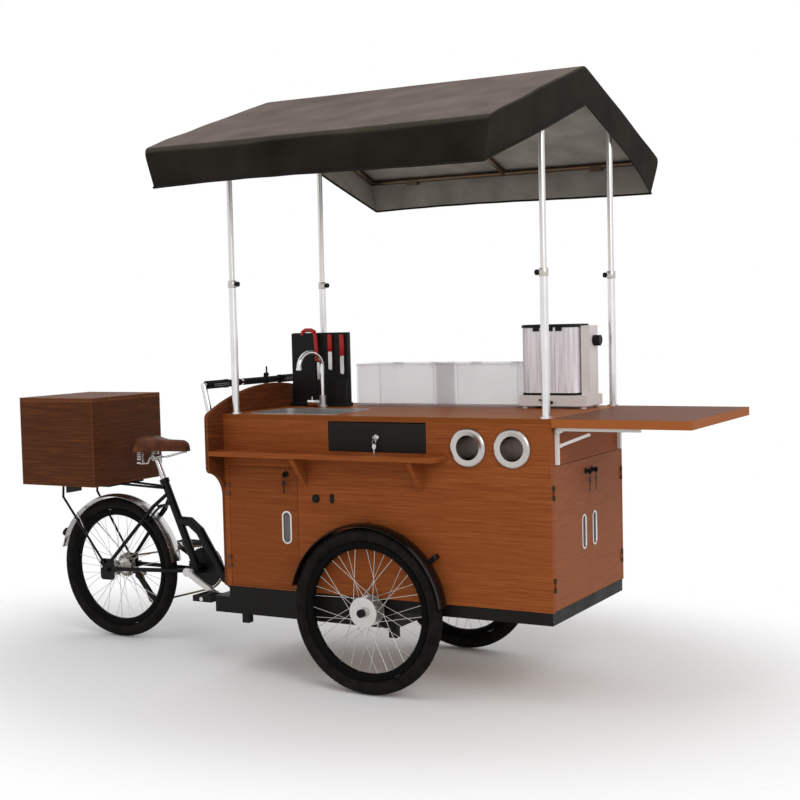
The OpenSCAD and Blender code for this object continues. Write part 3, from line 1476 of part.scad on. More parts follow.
// Chain line set off by h to its outer side
function chain_line(h) =
    let (n = len(chain_wheels))
    [for (i = [0 : n - 1])
        let (w = chain_wheels[i], before = run_angle(chain_wheels[(i + n - 1) % n], w),
            after = run_angle(w, chain_wheels[(i + 1) % n]), turn = w[2],
            swing = turn > 0 ? (after - before + 720) % 360 : -((before - after + 720) % 360),
            r = w[1] + turn * h, start = before - 90 * turn, steps = max(4, ceil(abs(swing) / 12)))
        each arc(w[0].x, w[0].y, r, start, start + swing, steps)];

module chain() placed() color("dimgray") mirror([0, 1, 0]) {
    translate([0, -chain_y + chain_w / 2, 0]) rotate([90, 0, 0]) linear_extrude(chain_w) difference() {
        polygon(chain_line(chain_h / 2));
        polygon(chain_line(-chain_h / 2));
    }
}

module rear_carrier() placed() color("black") {
    rail_y = 110;
    front_x = rear_x + 45;
    back_x = rear_x - 300;
    hold = seat_at(374);
    hold_y = seat_tube_r + carrier_r - 1 + pass;
    for (y = [-rail_y, -rail_y / 3, rail_y / 3, rail_y])
        rod([back_x, y, carrier_z], [front_x, y, carrier_z], carrier_r);
    for (x = [back_x, front_x])
        rod([x, -rail_y - 4, carrier_z], [x, rail_y + 4, carrier_z], carrier_r - 0.4);
    translate([rear_x - 258, -45, carrier_z - 50]) cube([10, 90, 50]);
    both_sides() {
        y = -dropout_y - carrier_r;
        bent_tube([[rear_x - 212, -rail_y, carrier_z], [rear_x - 216, -rail_y, carrier_z - 58],
            [rear_x + carrier_lug.x, y, axle_z + carrier_lug.y]], carrier_r - 1);
        cross_pin(rear_x + carrier_lug.x, axle_z + carrier_lug.y, -dropout_y, y - 4, 6);
        rod([front_x, -rail_y / 3, carrier_z], [hold.x, -hold_y, hold.z], carrier_r - 1);
    }
}

module rear_box() placed() color("saddlebrown") {
    translate([box_x, -box_w / 2, box_z]) difference() {
        cube([box_l, box_w, box_h - box_t]);
        translate([box_t, box_t, box_t]) cube([box_l - 2 * box_t, box_w - 2 * box_t, box_h]);
    }
    at_box_hinges() fixed_knuckles();
}

module box_lid() placed() color("saddlebrown") {
    translate([box_x, -box_w / 2, box_z + box_h - box_t + pass]) cube([box_l, box_w, box_t - pass]);
    at_box_hinges() moving_knuckle(box_t - 2);
}

chassis_frame();
cabinet_panels();
headboard();
inner_boards();
counter_top();
sink_bowl();
side_shelf();
cup_dispensers();
lower_poles();
pole_clamps();
cabinet_hinges();
handlebar();
handlebar_grips();
front_fenders();
display_cases();
steamer_base();
steamer_drum();
utensil_rack();
leaf_bracket_legs();
near_door();
front_door_near();
front_door_far();
drawer();
end_leaf();
leaf_bracket_arms();
leaf_struts();
display_lid_left();
display_lid_right();
steamer_knob();
tap_spout();
tap_lever();
brake_lever_near();
brake_lever_far();
shifter_lever();
canopy_frame();
canopy_cover();
near_tyre();
near_rim();
near_hub();
far_tyre();
far_rim();
far_hub();
bike_frame();
seat_post();
saddle_springs();
saddle();
crank_arms();
chainring();
pedal_near();
pedal_far();
chain();
rear_tyre();
rear_rim();
rear_hub();
sprocket_cluster();
derailleur();
rear_fender();
rear_carrier();
rear_box();
box_lid();
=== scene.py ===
import math

import bmesh
import bpy
from mathutils import Matrix, Vector, noise


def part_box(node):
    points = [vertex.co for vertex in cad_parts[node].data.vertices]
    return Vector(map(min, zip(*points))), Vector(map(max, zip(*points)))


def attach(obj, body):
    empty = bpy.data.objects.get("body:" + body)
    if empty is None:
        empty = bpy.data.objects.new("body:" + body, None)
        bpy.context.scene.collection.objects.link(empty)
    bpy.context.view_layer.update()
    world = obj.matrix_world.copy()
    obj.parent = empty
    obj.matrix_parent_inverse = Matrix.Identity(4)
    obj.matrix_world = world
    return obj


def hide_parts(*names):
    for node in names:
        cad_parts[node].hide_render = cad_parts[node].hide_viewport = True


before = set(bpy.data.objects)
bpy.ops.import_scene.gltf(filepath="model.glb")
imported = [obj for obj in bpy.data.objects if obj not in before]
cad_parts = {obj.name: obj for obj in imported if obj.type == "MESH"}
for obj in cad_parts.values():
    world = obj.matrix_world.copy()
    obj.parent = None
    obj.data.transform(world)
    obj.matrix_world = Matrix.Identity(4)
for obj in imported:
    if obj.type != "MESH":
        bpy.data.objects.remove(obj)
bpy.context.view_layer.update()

# Studio: the whole cart seen from its near front corner, at the height of a person's chest.
# It stands on a pale floor that fades into a white room, under broad soft lamps.
camera_place = Vector((2.863, -4.7012, 1.3664))
camera_right = Vector((0.87438, 0.48465, -0.02403))
camera_up = Vector((-0.00779, 0.06354, 0.99795))
camera = bpy.data.objects.new("camera", bpy.data.cameras.new("camera"))
camera.data.sensor_width = 36
camera.data.lens = 62.88
turn = Matrix((camera_right, camera_up, camera_right.cross(camera_up))).transposed()
camera.matrix_world = Matrix.Translation(camera_place) @ turn.to_4x4()
bpy.context.scene.collection.objects.link(camera)
bpy.context.scene.camera = camera
bpy.context.scene.view_settings.view_transform = "Standard"

room_light = 0.74
room = bpy.data.worlds.new("white_room")
room.use_nodes = True
bpy.context.scene.world = room
room_tree = room.node_tree
room_glow = room_tree.nodes["Background"]
room_glow.inputs["Color"].default_value = (1, 1, 1, 1)


def reckon(tree, operation, *values):
    """Result of a sum on one or two values of a node tree."""
    node = tree.nodes.new("ShaderNodeMath")
    node.operation = operation
    for value, socket in zip(values, node.inputs):
        tree.links.new(value, socket)
    return node.outputs[0]


def span(tree, value, low, high, start=0.3, end=0.7):
    """The pattern's value from start to end, carried to the range from low to high."""
    ranged = tree.nodes.new("ShaderNodeMapRange")
    for label, number in (("From Min", start), ("From Max", end), ("To Min", low), ("To Max", high)):
        ranged.inputs[label].default_value = number
    tree.links.new(value, ranged.inputs["Value"])
    return ranged.outputs["Result"]


seen = room_tree.nodes.new("ShaderNodeLightPath").outputs
seen_straight = reckon(room_tree, "MAXIMUM", seen["Is Camera Ray"], seen["Is Glossy Ray"])
seen_at_all = reckon(room_tree, "MAXIMUM", seen_straight, seen["Is Transmission Ray"])
room_level = span(room_tree, seen_at_all, room_light, 1.0, 0.0, 1.0)
room_tree.links.new(room_level, room_glow.inputs["Strength"])


def new_finish(name, base, rough, metal=0.0, shine=0.2):
    """A material with one even colour: returns it, its node tree and its shader."""
    finish = bpy.data.materials.new(name)
    finish.use_nodes = True
    finish.diffuse_color = base
    shader = finish.node_tree.nodes["Principled BSDF"]
    shader.inputs["Base Color"].default_value = base
    shader.inputs["Roughness"].default_value = rough
    shader.inputs["Metallic"].default_value = metal
    shader.inputs["Specular IOR Level"].default_value = 0.5 if metal else shine
    return finish, finish.node_tree, shader


def own_place(tree):
    """Places on a piece, in its own coordinates."""
    return tree.nodes.new("ShaderNodeTexCoord").outputs["Object"]


floor_reach, floor_drop = 9.0, 0.001
fade_per_metre, fade_end = (0.38, 0.55, 1), 0.5
floor_shape = bmesh.new()
bmesh.ops.create_grid(floor_shape, x_segments=2, y_segments=2, size=floor_reach)
floor_mesh = bpy.data.meshes.new("floor")
floor_shape.to_mesh(floor_mesh)
floor_shape.free()
floor = bpy.data.objects.new("floor", floor_mesh)
floor.location.z = -floor_drop
bpy.context.scene.collection.objects.link(floor)
floor_finish, floor_tree, floor_shader = new_finish("pale_floor", (0.93, 0.93, 0.93, 1), 0.9, shine=0.5)
floor_size = floor_tree.nodes.new("ShaderNodeMapping")
floor_size.inputs["Scale"].default_value = fade_per_metre
floor_fade = floor_tree.nodes.new("ShaderNodeTexGradient")
floor_fade.gradient_type = "SPHERICAL"
floor_edge = floor_tree.nodes.new("ShaderNodeMapRange")
floor_edge.interpolation_type = "SMOOTHSTEP"
floor_edge.inputs["From Max"].default_value = fade_end
floor_air = floor_tree.nodes.new("ShaderNodeBsdfTransparent")
floor_mix = floor_tree.nodes.new("ShaderNodeMixShader")
for plug, socket in (
    (own_place(floor_tree), floor_size.inputs["Vector"]),
    (floor_size.outputs["Vector"], floor_fade.inputs["Vector"]),
    (floor_fade.outputs["Fac"], floor_edge.inputs["Value"]),
    (floor_edge.outputs["Result"], floor_mix.inputs["Fac"]),
    (floor_air.outputs["BSDF"], floor_mix.inputs[1]),
    (floor_shader.outputs["BSDF"], floor_mix.inputs[2]),
    (floor_mix.outputs["Shader"], floor_tree.nodes["Material Output"].inputs["Surface"]),
):
    floor_tree.links.new(plug, socket)
floor_mesh.materials.append(floor_finish)


def hang_lamp(name, place, target, size, power):
    """A square soft lamp that faces a point of the cart."""
    lamp = bpy.data.objects.new(name, bpy.data.lights.new(name, "AREA"))
    lamp.data.size = size
    lamp.data.energy = power
    lamp.location = place
    lamp.rotation_euler = (Vector(target) - Vector(place)).to_track_quat("-Z", "Y").to_euler()
    bpy.context.scene.collection.objects.link(lamp)


hang_lamp("front_lamp", (4.6, -3.4, 3.4), (0.4, -0.2, 0.8), 2.4, 85)
hang_lamp("top_lamp", (0.2, -1.2, 5.6), (0.2, 0.0, 1.2), 3.0, 34)

# Chassis: welded channel rails, an angle-section skirt under the body and the front axle.
# All of it is mild steel, sprayed satin black after welding and rubbed along its edges.


def tone(red, green, blue):
    """Colour for a shader, from the 0 to 255 steps of a paint card."""
    steps = [value / 255 for value in (red, green, blue)]
    return (*[s / 12.92 if s <= 0.04045 else ((s + 0.055) / 1.055) ** 2.4 for s in steps], 1.0)


def mottle(tree, stretch, detail, twist=0.0):
    """Cloudy pattern on the piece's own coordinates, with so many clouds to a metre along x, y and z."""
    spread = tree.nodes.new("ShaderNodeMapping")
    spread.inputs["Scale"].default_value = stretch
    cloud = tree.nodes.new("ShaderNodeTexNoise")
    cloud.inputs["Scale"].default_value = 1.0
    cloud.inputs["Detail"].default_value = detail
    cloud.inputs["Distortion"].default_value = twist
    tree.links.new(own_place(tree), spread.inputs["Vector"])
    tree.links.new(spread.outputs["Vector"], cloud.inputs["Vector"])
    return cloud.outputs["Fac"]


def shades(tree, value, *stops):
    """Colours laid along a pattern's value: each stop is a place from 0 to 1 and its colour."""
    ramp = tree.nodes.new("ShaderNodeValToRGB")
    while len(ramp.color_ramp.elements) < len(stops):
        ramp.color_ramp.elements.new(0.5)
    for element, (place, colour) in zip(ramp.color_ramp.elements, stops):
        element.position = place
        element.color = colour
    tree.links.new(value, ramp.inputs["Fac"])
    return ramp.outputs["Color"]


def mixed(tree, share, first, second):
    """Two colours mixed by a share from 0 to 1; either may be a fixed colour."""
    mix = tree.nodes.new("ShaderNodeMix")
    mix.data_type = "RGBA"
    tree.links.new(share, mix.inputs["Factor"])
    for socket, colour in ((mix.inputs[6], first), (mix.inputs[7], second)):
        if isinstance(colour, tuple):
            socket.default_value = colour
        else:
            tree.links.new(colour, socket)
    return mix.outputs[2]


def eased_normal(tree, radius):
    """Direction of the surface, as if its sharp edges were eased by a radius."""
    eased = tree.nodes.new("ShaderNodeBevel")
    eased.samples = 4
    eased.inputs["Radius"].default_value = radius
    return eased.outputs["Normal"]


def edges(tree, radius):
    """A share that is 1 along the piece's sharp edges and 0 on its flat faces."""
    flat = tree.nodes.new("ShaderNodeNewGeometry")
    lean = tree.nodes.new("ShaderNodeVectorMath")
    lean.operation = "DOT_PRODUCT"
    tree.links.new(eased_normal(tree, radius), lean.inputs[0])
    tree.links.new(flat.outputs["Normal"], lean.inputs[1])
    return span(tree, lean.outputs["Value"], 1.0, 0.0, 0.93, 0.999)


def relief(tree, shader, value, depth, ease=0.0):
    """Raises the surface by a pattern, over edges that are eased by a small radius."""
    bump = tree.nodes.new("ShaderNodeBump")
    bump.inputs["Distance"].default_value = depth
    tree.links.new(value, bump.inputs["Height"])
    if ease:
        tree.links.new(eased_normal(tree, ease), bump.inputs["Normal"])
    tree.links.new(bump.outputs["Normal"], shader.inputs["Normal"])


def paint_finish(name, base, worn, rough, ease=0.0012, shine=0.16):
    """Sprayed paint: faint orange peel, cloudy gloss, and bare-looking edges where it rubs."""
    finish, tree, shader = new_finish(name, base, rough, shine=shine)
    peel = mottle(tree, (420, 420, 420), 2)
    cloud = mottle(tree, (7, 7, 7), 5)
    rubbed = reckon(tree, "MULTIPLY", edges(tree, ease), span(tree, cloud, 0.0, 0.55, 0.42, 0.68))
    tree.links.new(mixed(tree, rubbed, base, worn), shader.inputs["Base Color"])
    tree.links.new(span(tree, cloud, rough - 0.07, rough + 0.1), shader.inputs["Roughness"])
    relief(tree, shader, peel, 0.00006, ease)
    return finish


def dress(finish, *nodes):
    """Gives a finish to pieces whose shape comes with the frame."""
    for node in nodes:
        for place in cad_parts[node].material_slots:
            place.material = finish


chassis_paint = paint_finish("chassis_paint", tone(15, 13, 11), tone(66, 62, 56), 0.5)
dress(chassis_paint, "chassis_frame")

# Cabinet: boards of particle board faced with a red-brown wood laminate, screwed up into a chest.
# The grain runs along each board, and every sharp edge carries a light line that is a painted highlight.


def facing_up(tree, start, end):
    """A share that is 0 where a face leans less than start towards the piece's top and 1 past end."""
    face = tree.nodes.new("ShaderNodeTexCoord")
    parts = tree.nodes.new("ShaderNodeSeparateXYZ")
    tree.links.new(face.outputs["Normal"], parts.inputs[0])
    return span(tree, parts.outputs["Z"], 0.0, 1.0, start, end)


def board_finish(name, dark, middle, light, along, rough=0.5, shine=0.06, side=None, band=0.0016):
    """Wood laminate: long streaks of three tones, short dark pores, painted highlights along the edges,
    sides of another tone.
    """
    finish, tree, shader = new_finish(name, middle, rough, shine=shine)
    run = {"x": Vector((1, 0, 0)), "y": Vector((0, 1, 0)), "level": Vector((1, 1, 0))}[along]
    across = Vector((1, 1, 1)) - run
    streaks, broad, pores = [mottle(tree, run * lengthwise + across * crosswise, detail, twist)
        for lengthwise, crosswise, detail, twist in ((7, 210, 6, 0.2), (1.6, 11, 4, 0.4), (26, 520, 2, 0.0))]
    wood = shades(tree, streaks, (0.26, dark), (0.5, middle), (0.78, light))
    washed = mixed(tree, span(tree, broad, 0.1, 0.6, 0.36, 0.68), wood, middle)
    speckled = mixed(tree, span(tree, pores, 0.0, 0.6, 0.56, 0.74), washed, dark)
    if side:
        speckled = mixed(tree, facing_up(tree, 0.4, 0.6), side, speckled)
    # The band along the sharp edges, as wide as band, is a painted highlight in the light tone.
    edge_highlighted = mixed(tree, edges(tree, band), speckled, light)
    tree.links.new(edge_highlighted, shader.inputs["Base Color"])
    tree.links.new(span(tree, streaks, rough - 0.05, rough + 0.08), shader.inputs["Roughness"])
    relief(tree, shader, pores, 0.00012, 0.0012)
    return finish


panel_wood = board_finish("panel_wood", tone(117, 58, 25), tone(140, 74, 35), tone(160, 93, 49), "level")
# The headboard's laminate is painted darker than the panels' as the shade that the canopy casts on it.
head_wood_painted_shade = board_finish("head_wood_painted_shade", tone(74, 37, 18), tone(96, 50, 26), tone(140, 78, 40), "level",
    band=0.006)
inner_wood = board_finish("inner_wood", tone(150, 106, 66), tone(176, 130, 86), tone(196, 154, 110), "x")
counter_wood = board_finish("counter_wood", tone(136, 74, 33), tone(160, 92, 45), tone(178, 110, 58), "x",
    0.38, 0.018, tone(130, 70, 33))
dress(panel_wood, "cabinet_panels", "side_shelf")
dress(head_wood_painted_shade, "headboard")
dress(inner_wood, "inner_boards")
dress(counter_wood, "counter_top")

# Doors: a cupboard door on the near side and a pair at the front, of laminate boards on steel hinges.
# Their sunk pulls are pressed aluminium cups with a narrow rim, glued into milled pockets.
door_wood = board_finish("door_wood", tone(110, 55, 24), tone(130, 68, 32), tone(150, 85, 45), "level")
front_wood = board_finish("front_wood", tone(120, 65, 38), tone(142, 82, 50), tone(158, 98, 63), "level")
dress(door_wood, "near_door")
dress(front_wood, "front_door_near", "front_door_far")


def metal_finish(name, base, rough, brushed=(300, 300, 300), depth=0.00003, ease=0.0006):
    """Bare metal with fine drawn or polished marks, a little uneven in its shine."""
    finish, tree, shader = new_finish(name, base, rough, 1.0)
    marks = mottle(tree, brushed, 4)
    cloud = mottle(tree, (9, 9, 9), 4)
    dull = tuple(0.72 * c for c in base[:3]) + (1.0,)
    tree.links.new(mixed(tree, span(tree, cloud, 0.0, 0.45), base, dull), shader.inputs["Base Color"])
    tree.links.new(span(tree, marks, max(0.03, rough - 0.08), rough + 0.12), shader.inputs["Roughness"])
    relief(tree, shader, marks, depth, ease)
    return finish


def add_skin(shape, loops, closed=True, caps=True):
    """Joins loops of points, one after the other, with faces; caps close the first and the last."""
    rows = [[shape.verts.new(point) for point in loop] for loop in loops]
    count = len(rows[0])
    for row, ahead in zip(rows, rows[1:]):
        for k in range(count if closed else count - 1):
            m = (k + 1) % count
            shape.faces.new((row[k], row[m], ahead[m], ahead[k]))
    if caps:
        shape.faces.new(list(reversed(rows[0])))
        shape.faces.new(rows[-1])
    return rows


def make_piece(name, shape, finish, body, sharp=35):
    """Turns a finished shape into a piece of the cart that moves with one of its bodies."""
    mesh = bpy.data.meshes.new(name)
    bmesh.ops.recalc_face_normals(shape, faces=shape.faces)
    shape.to_mesh(mesh)
    shape.free()
    mesh.materials.append(finish)
    mesh.shade_smooth()
    mesh.set_sharp_from_angle(angle=math.radians(sharp))
    piece = bpy.data.objects.new(name, mesh)
    bpy.context.scene.collection.objects.link(piece)
    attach(piece, body)
    return piece


def pill(width, length, steps=10):
    """Outline of a slot with round ends, its length upright."""
    radius = width / 2
    straight = length / 2 - radius
    points = []
    for end, start in ((straight, 0), (-straight, math.pi)):
        for k in range(steps + 1):
            angle = start + math.pi * k / steps
            points.append((radius * math.cos(angle), end + radius * math.sin(angle)))
    return points


hinge_steel = metal_finish("hinge_steel", tone(96, 70, 52), 0.42)
dress(hinge_steel, "cabinet_hinges")
pull_alloy = metal_finish("pull_alloy", tone(214, 212, 210), 0.3, (900, 900, 60))
# The sunk dish is painted a darker grey as the shade in the pull's hollow.
dish_painted_shade = paint_finish("dish_painted_shade", tone(112, 106, 104), tone(150, 146, 142), 0.45)
pull_width, pull_length, pull_depth = 0.037, 0.120, 0.009
pull_from_edge, pull_from_middle, pull_height = 0.050, 0.051, 0.585
rim_steps = ((0.003, 0.0), (0.003, 0.0011), (0.0024, 0.0015), (-0.0030, 0.0015), (-0.0036, 0.0008),
    (-0.0040, -0.002))
dish_steps = ((-0.0040, -0.002), (-0.0046, 0.002 - pull_depth), (-0.0066, -pull_depth))


def fit_pull(name, place, sideways, outward, body):
    """Pull cup at a place on a door: a bright rim on the face, and a dish sunk into the pocket, painted
    darker as the shade in its hollow.
    """
    rim, dish = ("", rim_steps, pull_alloy, False), ("_dish", dish_steps, dish_painted_shade, True)
    for part, steps, finish, floored in (rim, dish):
        shape = bmesh.new()
        loops = []
        for wider, out in steps:
            outline = pill(pull_width + 2 * wider, pull_length + 2 * wider)
            loops.append([place + sideways * a + upward * b + outward * out for a, b in outline])
        rows = add_skin(shape, loops, caps=False)
        if floored:
            shape.faces.new(rows[-1])
        make_piece(name + part, shape, finish, body)


along_x, along_y, upward = Vector((1, 0, 0)), Vector((0, 1, 0)), Vector((0, 0, 1))
near_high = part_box("near_door")[1]
panel_low, panel_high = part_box("cabinet_panels")
near_pull = Vector((near_high.x - pull_from_edge, panel_low.y, pull_height))
fit_pull("cupboard_pull", near_pull, along_x, -along_y, "cupboard_door")
for side, body in ((-1, "near_front_door"), (1, "far_front_door")):
    place = Vector((panel_high.x, side * pull_from_middle, pull_height))
    fit_pull(body + "_pull", place, along_y, along_x, body)

# Locks: turned cam locks near the top of each door, let into a drilled hole, with the keys left in.
# Each is black with black keys, and a spare key hangs from the first key's bow on a split ring.
black_plastic = paint_finish("black_plastic", tone(22, 21, 20), tone(56, 54, 52), 0.5)
lock_profile = ((0.0, 0.0), (0.0115, 0.0), (0.0115, 0.0028), (0.0102, 0.004), (0.0082, 0.004),
    (0.0082, 0.0062), (0.0068, 0.0072), (0.0, 0.0072))


def full_turn(steps):
    """Angles of so many even steps round a circle."""
    return [2 * math.pi * k / steps for k in range(steps)]


def circle(middle, radius, side, over, steps):
    """Points of a circle round a middle, in the plane of two directions."""
    return [middle + radius * (math.cos(a) * side + math.sin(a) * over) for a in full_turn(steps)]


def add_turned(shape, place, axis, profile, steps=24):
    """Turned form: a profile of radius and height, spun round an axis through a place."""
    side = axis.orthogonal().normalized()
    over = axis.cross(side)
    least_radius = 0.0002
    add_skin(shape, [circle(place + axis * height, max(radius, least_radius), side, over, steps)
        for radius, height in profile])


def add_plate(shape, place, outline, right, up, thickness):
    """Flat plate: an outline of points in the plane of right and up, with eased edges."""
    front = right.cross(up).normalized()
    ease = min(0.0006, thickness / 4)
    middle = Vector((sum(a for a, _ in outline), sum(b for _, b in outline))) / len(outline)
    loops = []
    for out, inset in ((-thickness / 2, ease), (-thickness / 2 + ease, 0), (thickness / 2 - ease, 0),
            (thickness / 2, ease)):
        ring = []
        for a, b in outline:
            flat = Vector((a, b))
            flat -= (flat - middle).normalized() * inset
            ring.append(place + right * flat.x + up * flat.y + front * out)
        loops.append(ring)
    add_skin(shape, loops)


def oval(width, height, steps=20):
    """Outline of an oval."""
    return [(width / 2 * math.cos(a), height / 2 * math.sin(a)) for a in full_turn(steps)]


def add_tube(shape, path, radius, sides=10, closed=False):
    """Round tube along a path of points, its rings carried along without twisting."""
    count = len(path)
    loops = []
    side = None
    for k, point in enumerate(path):
        after = path[(k + 1) % count] if closed else path[min(count - 1, k + 1)]
        before = path[k - 1] if closed else path[max(0, k - 1)]
        ahead = (after - before).normalized()
        if side is None:
            side = ahead.orthogonal().normalized()
        side = (side - ahead * side.dot(ahead)).normalized()
        loops.append(circle(point, radius, side, ahead.cross(side), sides))
    if closed:
        loops.append(loops[0])
    add_skin(shape, loops, caps=not closed)
    if closed:
        bmesh.ops.remove_doubles(shape, verts=shape.verts, dist=1e-6)


bow_out, ring_out, ring_drop, ring_radius, ring_wire = 0.0155, 0.0165, 0.0145, 0.0075, 0.0008
spare_drop, blade_drop, bow_thickness, blade_thickness = 0.017, 0.0405, 0.0022, 0.0018
key_bow, spare_bow = oval(0.017, 0.020), oval(0.016, 0.021)
key_blade = [(-0.0022, -0.015), (0.0022, -0.018), (0.0022, 0.015), (-0.0022, 0.015), (-0.0036, 0.004),
    (-0.0024, -0.002), (-0.0036, -0.008)]


def fit_lock(name, place, sideways, outward, body, finish):
    """Cam lock on a face, with one key in it and a spare on a ring through the first key's bow."""
    shape = bmesh.new()
    add_turned(shape, place, outward, lock_profile)
    make_piece(name, shape, finish, body, 40)
    keys = bmesh.new()
    add_plate(keys, place + outward * bow_out, key_bow, outward, upward, bow_thickness)
    ring_middle = place + outward * ring_out - upward * ring_drop
    add_tube(keys, circle(ring_middle, ring_radius, sideways, upward, 20), ring_wire, 6, closed=True)
    add_plate(keys, ring_middle - upward * spare_drop, spare_bow, sideways, upward, bow_thickness)
    add_plate(keys, ring_middle - upward * blade_drop, key_blade, sideways, upward, blade_thickness)
    make_piece(name + "_keys", keys, finish, body, 40)


lock_height, lock_from_edge, lock_from_middle, lock_below_top = 0.786, 0.048, 0.030, 0.045
near_lock = Vector((near_high.x - lock_from_edge, panel_low.y, lock_height))
fit_lock("cupboard_lock", near_lock, along_x, -along_y, "cupboard_door", black_plastic)
front_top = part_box("front_door_near")[1].z
for side, body in ((-1, "near_front_door"), (1, "far_front_door")):
    place = Vector((panel_high.x, side * lock_from_middle, front_top - lock_below_top))
    fit_lock(body + "_lock", place, along_y, along_x, body, black_plastic)

# Power inlets: a round capped inlet and a rocker switch, moulded in black plastic.
# Both are pushed through holes in the near side beside the cupboard door and hold by their flanges.
inlet_at, switch_at = Vector((0.0735, panel_low.y, 0.700)), Vector((0.1435, panel_low.y, 0.703))
inlet_profile = ((0.0, 0.0), (0.0160, 0.0), (0.0160, 0.0030), (0.0145, 0.0045), (0.0120, 0.0045),
    (0.0112, 0.0085), (0.0085, 0.0100), (0.0078, 0.0070), (0.0, 0.0070))
screw_profile = ((0.0, 0.0), (0.0042, 0.0), (0.0042, 0.0036), (0.0, 0.0050))
screw_circle, rocker_thickness, flange_thickness = 0.0135, 0.0035, 0.004
flange_outline, rocker_outline = pill(0.017, 0.036, 6), pill(0.010, 0.013, 5)
inlets = bmesh.new()
add_turned(inlets, inlet_at, -along_y, inlet_profile)
for turn_angle in (45, 135, 225, 315):
    away = Matrix.Rotation(math.radians(turn_angle), 3, "Y") @ along_x
    add_turned(inlets, inlet_at + away * screw_circle, -along_y, screw_profile, 12)
flange_at = switch_at - along_y * flange_thickness / 2
add_plate(inlets, flange_at, flange_outline, along_x, upward, flange_thickness)
for rise, out in ((0.0055, 0.0055), (-0.0065, 0.0045)):
    rocker_at = switch_at - along_y * out + upward * rise
    add_plate(inlets, rocker_at, rocker_outline, along_x, upward, rocker_thickness)
make_piece("power_inlets", inlets, black_plastic, "cart", 40)

# Serving leaf and its folding brackets: a thick laminate board that swings down at the front end.
# The brackets are flat steel bars, powder coated white, screwed under the leaf and to the body.
leaf_wood = board_finish("leaf_wood", tone(96, 51, 29), tone(114, 63, 37), tone(132, 78, 47), "y",
    0.42, 0.02, tone(158, 91, 49))
white_paint = paint_finish("white_paint", tone(226, 224, 220), tone(150, 148, 144), 0.36)
dress(leaf_wood, "end_leaf")
dress(white_paint, "leaf_bracket_legs", "leaf_bracket_arms", "leaf_struts")

# Drawer: a shallow wooden box behind a plain front, sprayed black, under the counter's near edge.
# It runs on the deck inside the cabinet and locks with a bright cam lock in the middle of its front.
drawer_black = paint_finish("drawer_black", tone(24, 20, 17), tone(72, 64, 58), 0.5)
dress(drawer_black, "drawer")
lock_bright = metal_finish("lock_bright", tone(206, 204, 200), 0.25)
drawer_low, drawer_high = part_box("drawer")
drawer_lock = Vector(((drawer_low.x + drawer_high.x) / 2, drawer_low.y, (drawer_low.z + drawer_high.z) / 2))
fit_lock("drawer_lock", drawer_lock, along_x, -along_y, "sliding_drawer", lock_bright)

# Sink and tap: a bowl drawn from stainless sheet, dropped into a hole in the counter by its rim.
# The tap beside it is a bent brass tube and a cast lever, both polished and chromed.
sink_steel = metal_finish("sink_steel", tone(190, 188, 186), 0.32, (60, 900, 900))
chrome = metal_finish("chrome", tone(226, 226, 226), 0.08, (500, 500, 500), 0.00001)
dress(sink_steel, "sink_bowl")
dress(chrome, "tap_spout", "tap_lever")

# Cup dispensers: two spun stainless tubes let into the near side, each behind a broad rolled rim.
# Rim and tube are polished alike and keep fine marks all over.
cup_steel = metal_finish("cup_steel", tone(192, 186, 182), 0.2, (700, 700, 700))
dress(cup_steel, "cup_dispensers")

# Display cases: boxes of clear acrylic sheet, cemented at the corners, with hinged acrylic lids.
# The sheet is faintly grey with fine scratches, and its sawn edges are frosted and show up grey.
case_clear, case_tree, case_shader = new_finish("case_clear", tone(214, 205, 208), 0.12, shine=0.5)
case_scratches = mottle(case_tree, (40, 900, 300), 3)
case_tree.links.new(span(case_tree, case_scratches, 0.08, 0.24, 0.45, 0.75), case_shader.inputs["Roughness"])
case_haze = mottle(case_tree, (9, 9, 9), 3)
case_rim = edges(case_tree, 0.003)
case_tones = shades(case_tree, case_haze, (0.3, tone(198, 188, 192)), (0.7, tone(224, 216, 219)))
case_rimmed = mixed(case_tree, case_rim, case_tones, tone(150, 142, 146))
case_tree.links.new(case_rimmed, case_shader.inputs["Base Color"])
case_tree.links.new(span(case_tree, case_rim, 0.2, 0.72, 0.0, 1.0), case_shader.inputs["Alpha"])
relief(case_tree, case_shader, case_scratches, 0.00002)
dress(case_clear, "display_cases", "display_lid_left", "display_lid_right")

# Steamer: a fluted milky drum on a sheet-steel base, with a thin black lid and a column of controls.
# The drum is drawn from cloudy plastic, with bright streaks painted into its colour as the highlights of its
# flutes, which stiffen the wall, and the steel is enamelled cream.
cream_enamel = paint_finish("cream_enamel", tone(224, 217, 214), tone(160, 152, 148), 0.36, shine=0.3)
dress(cream_enamel, "steamer_base")
dress(black_plastic, "steamer_knob")


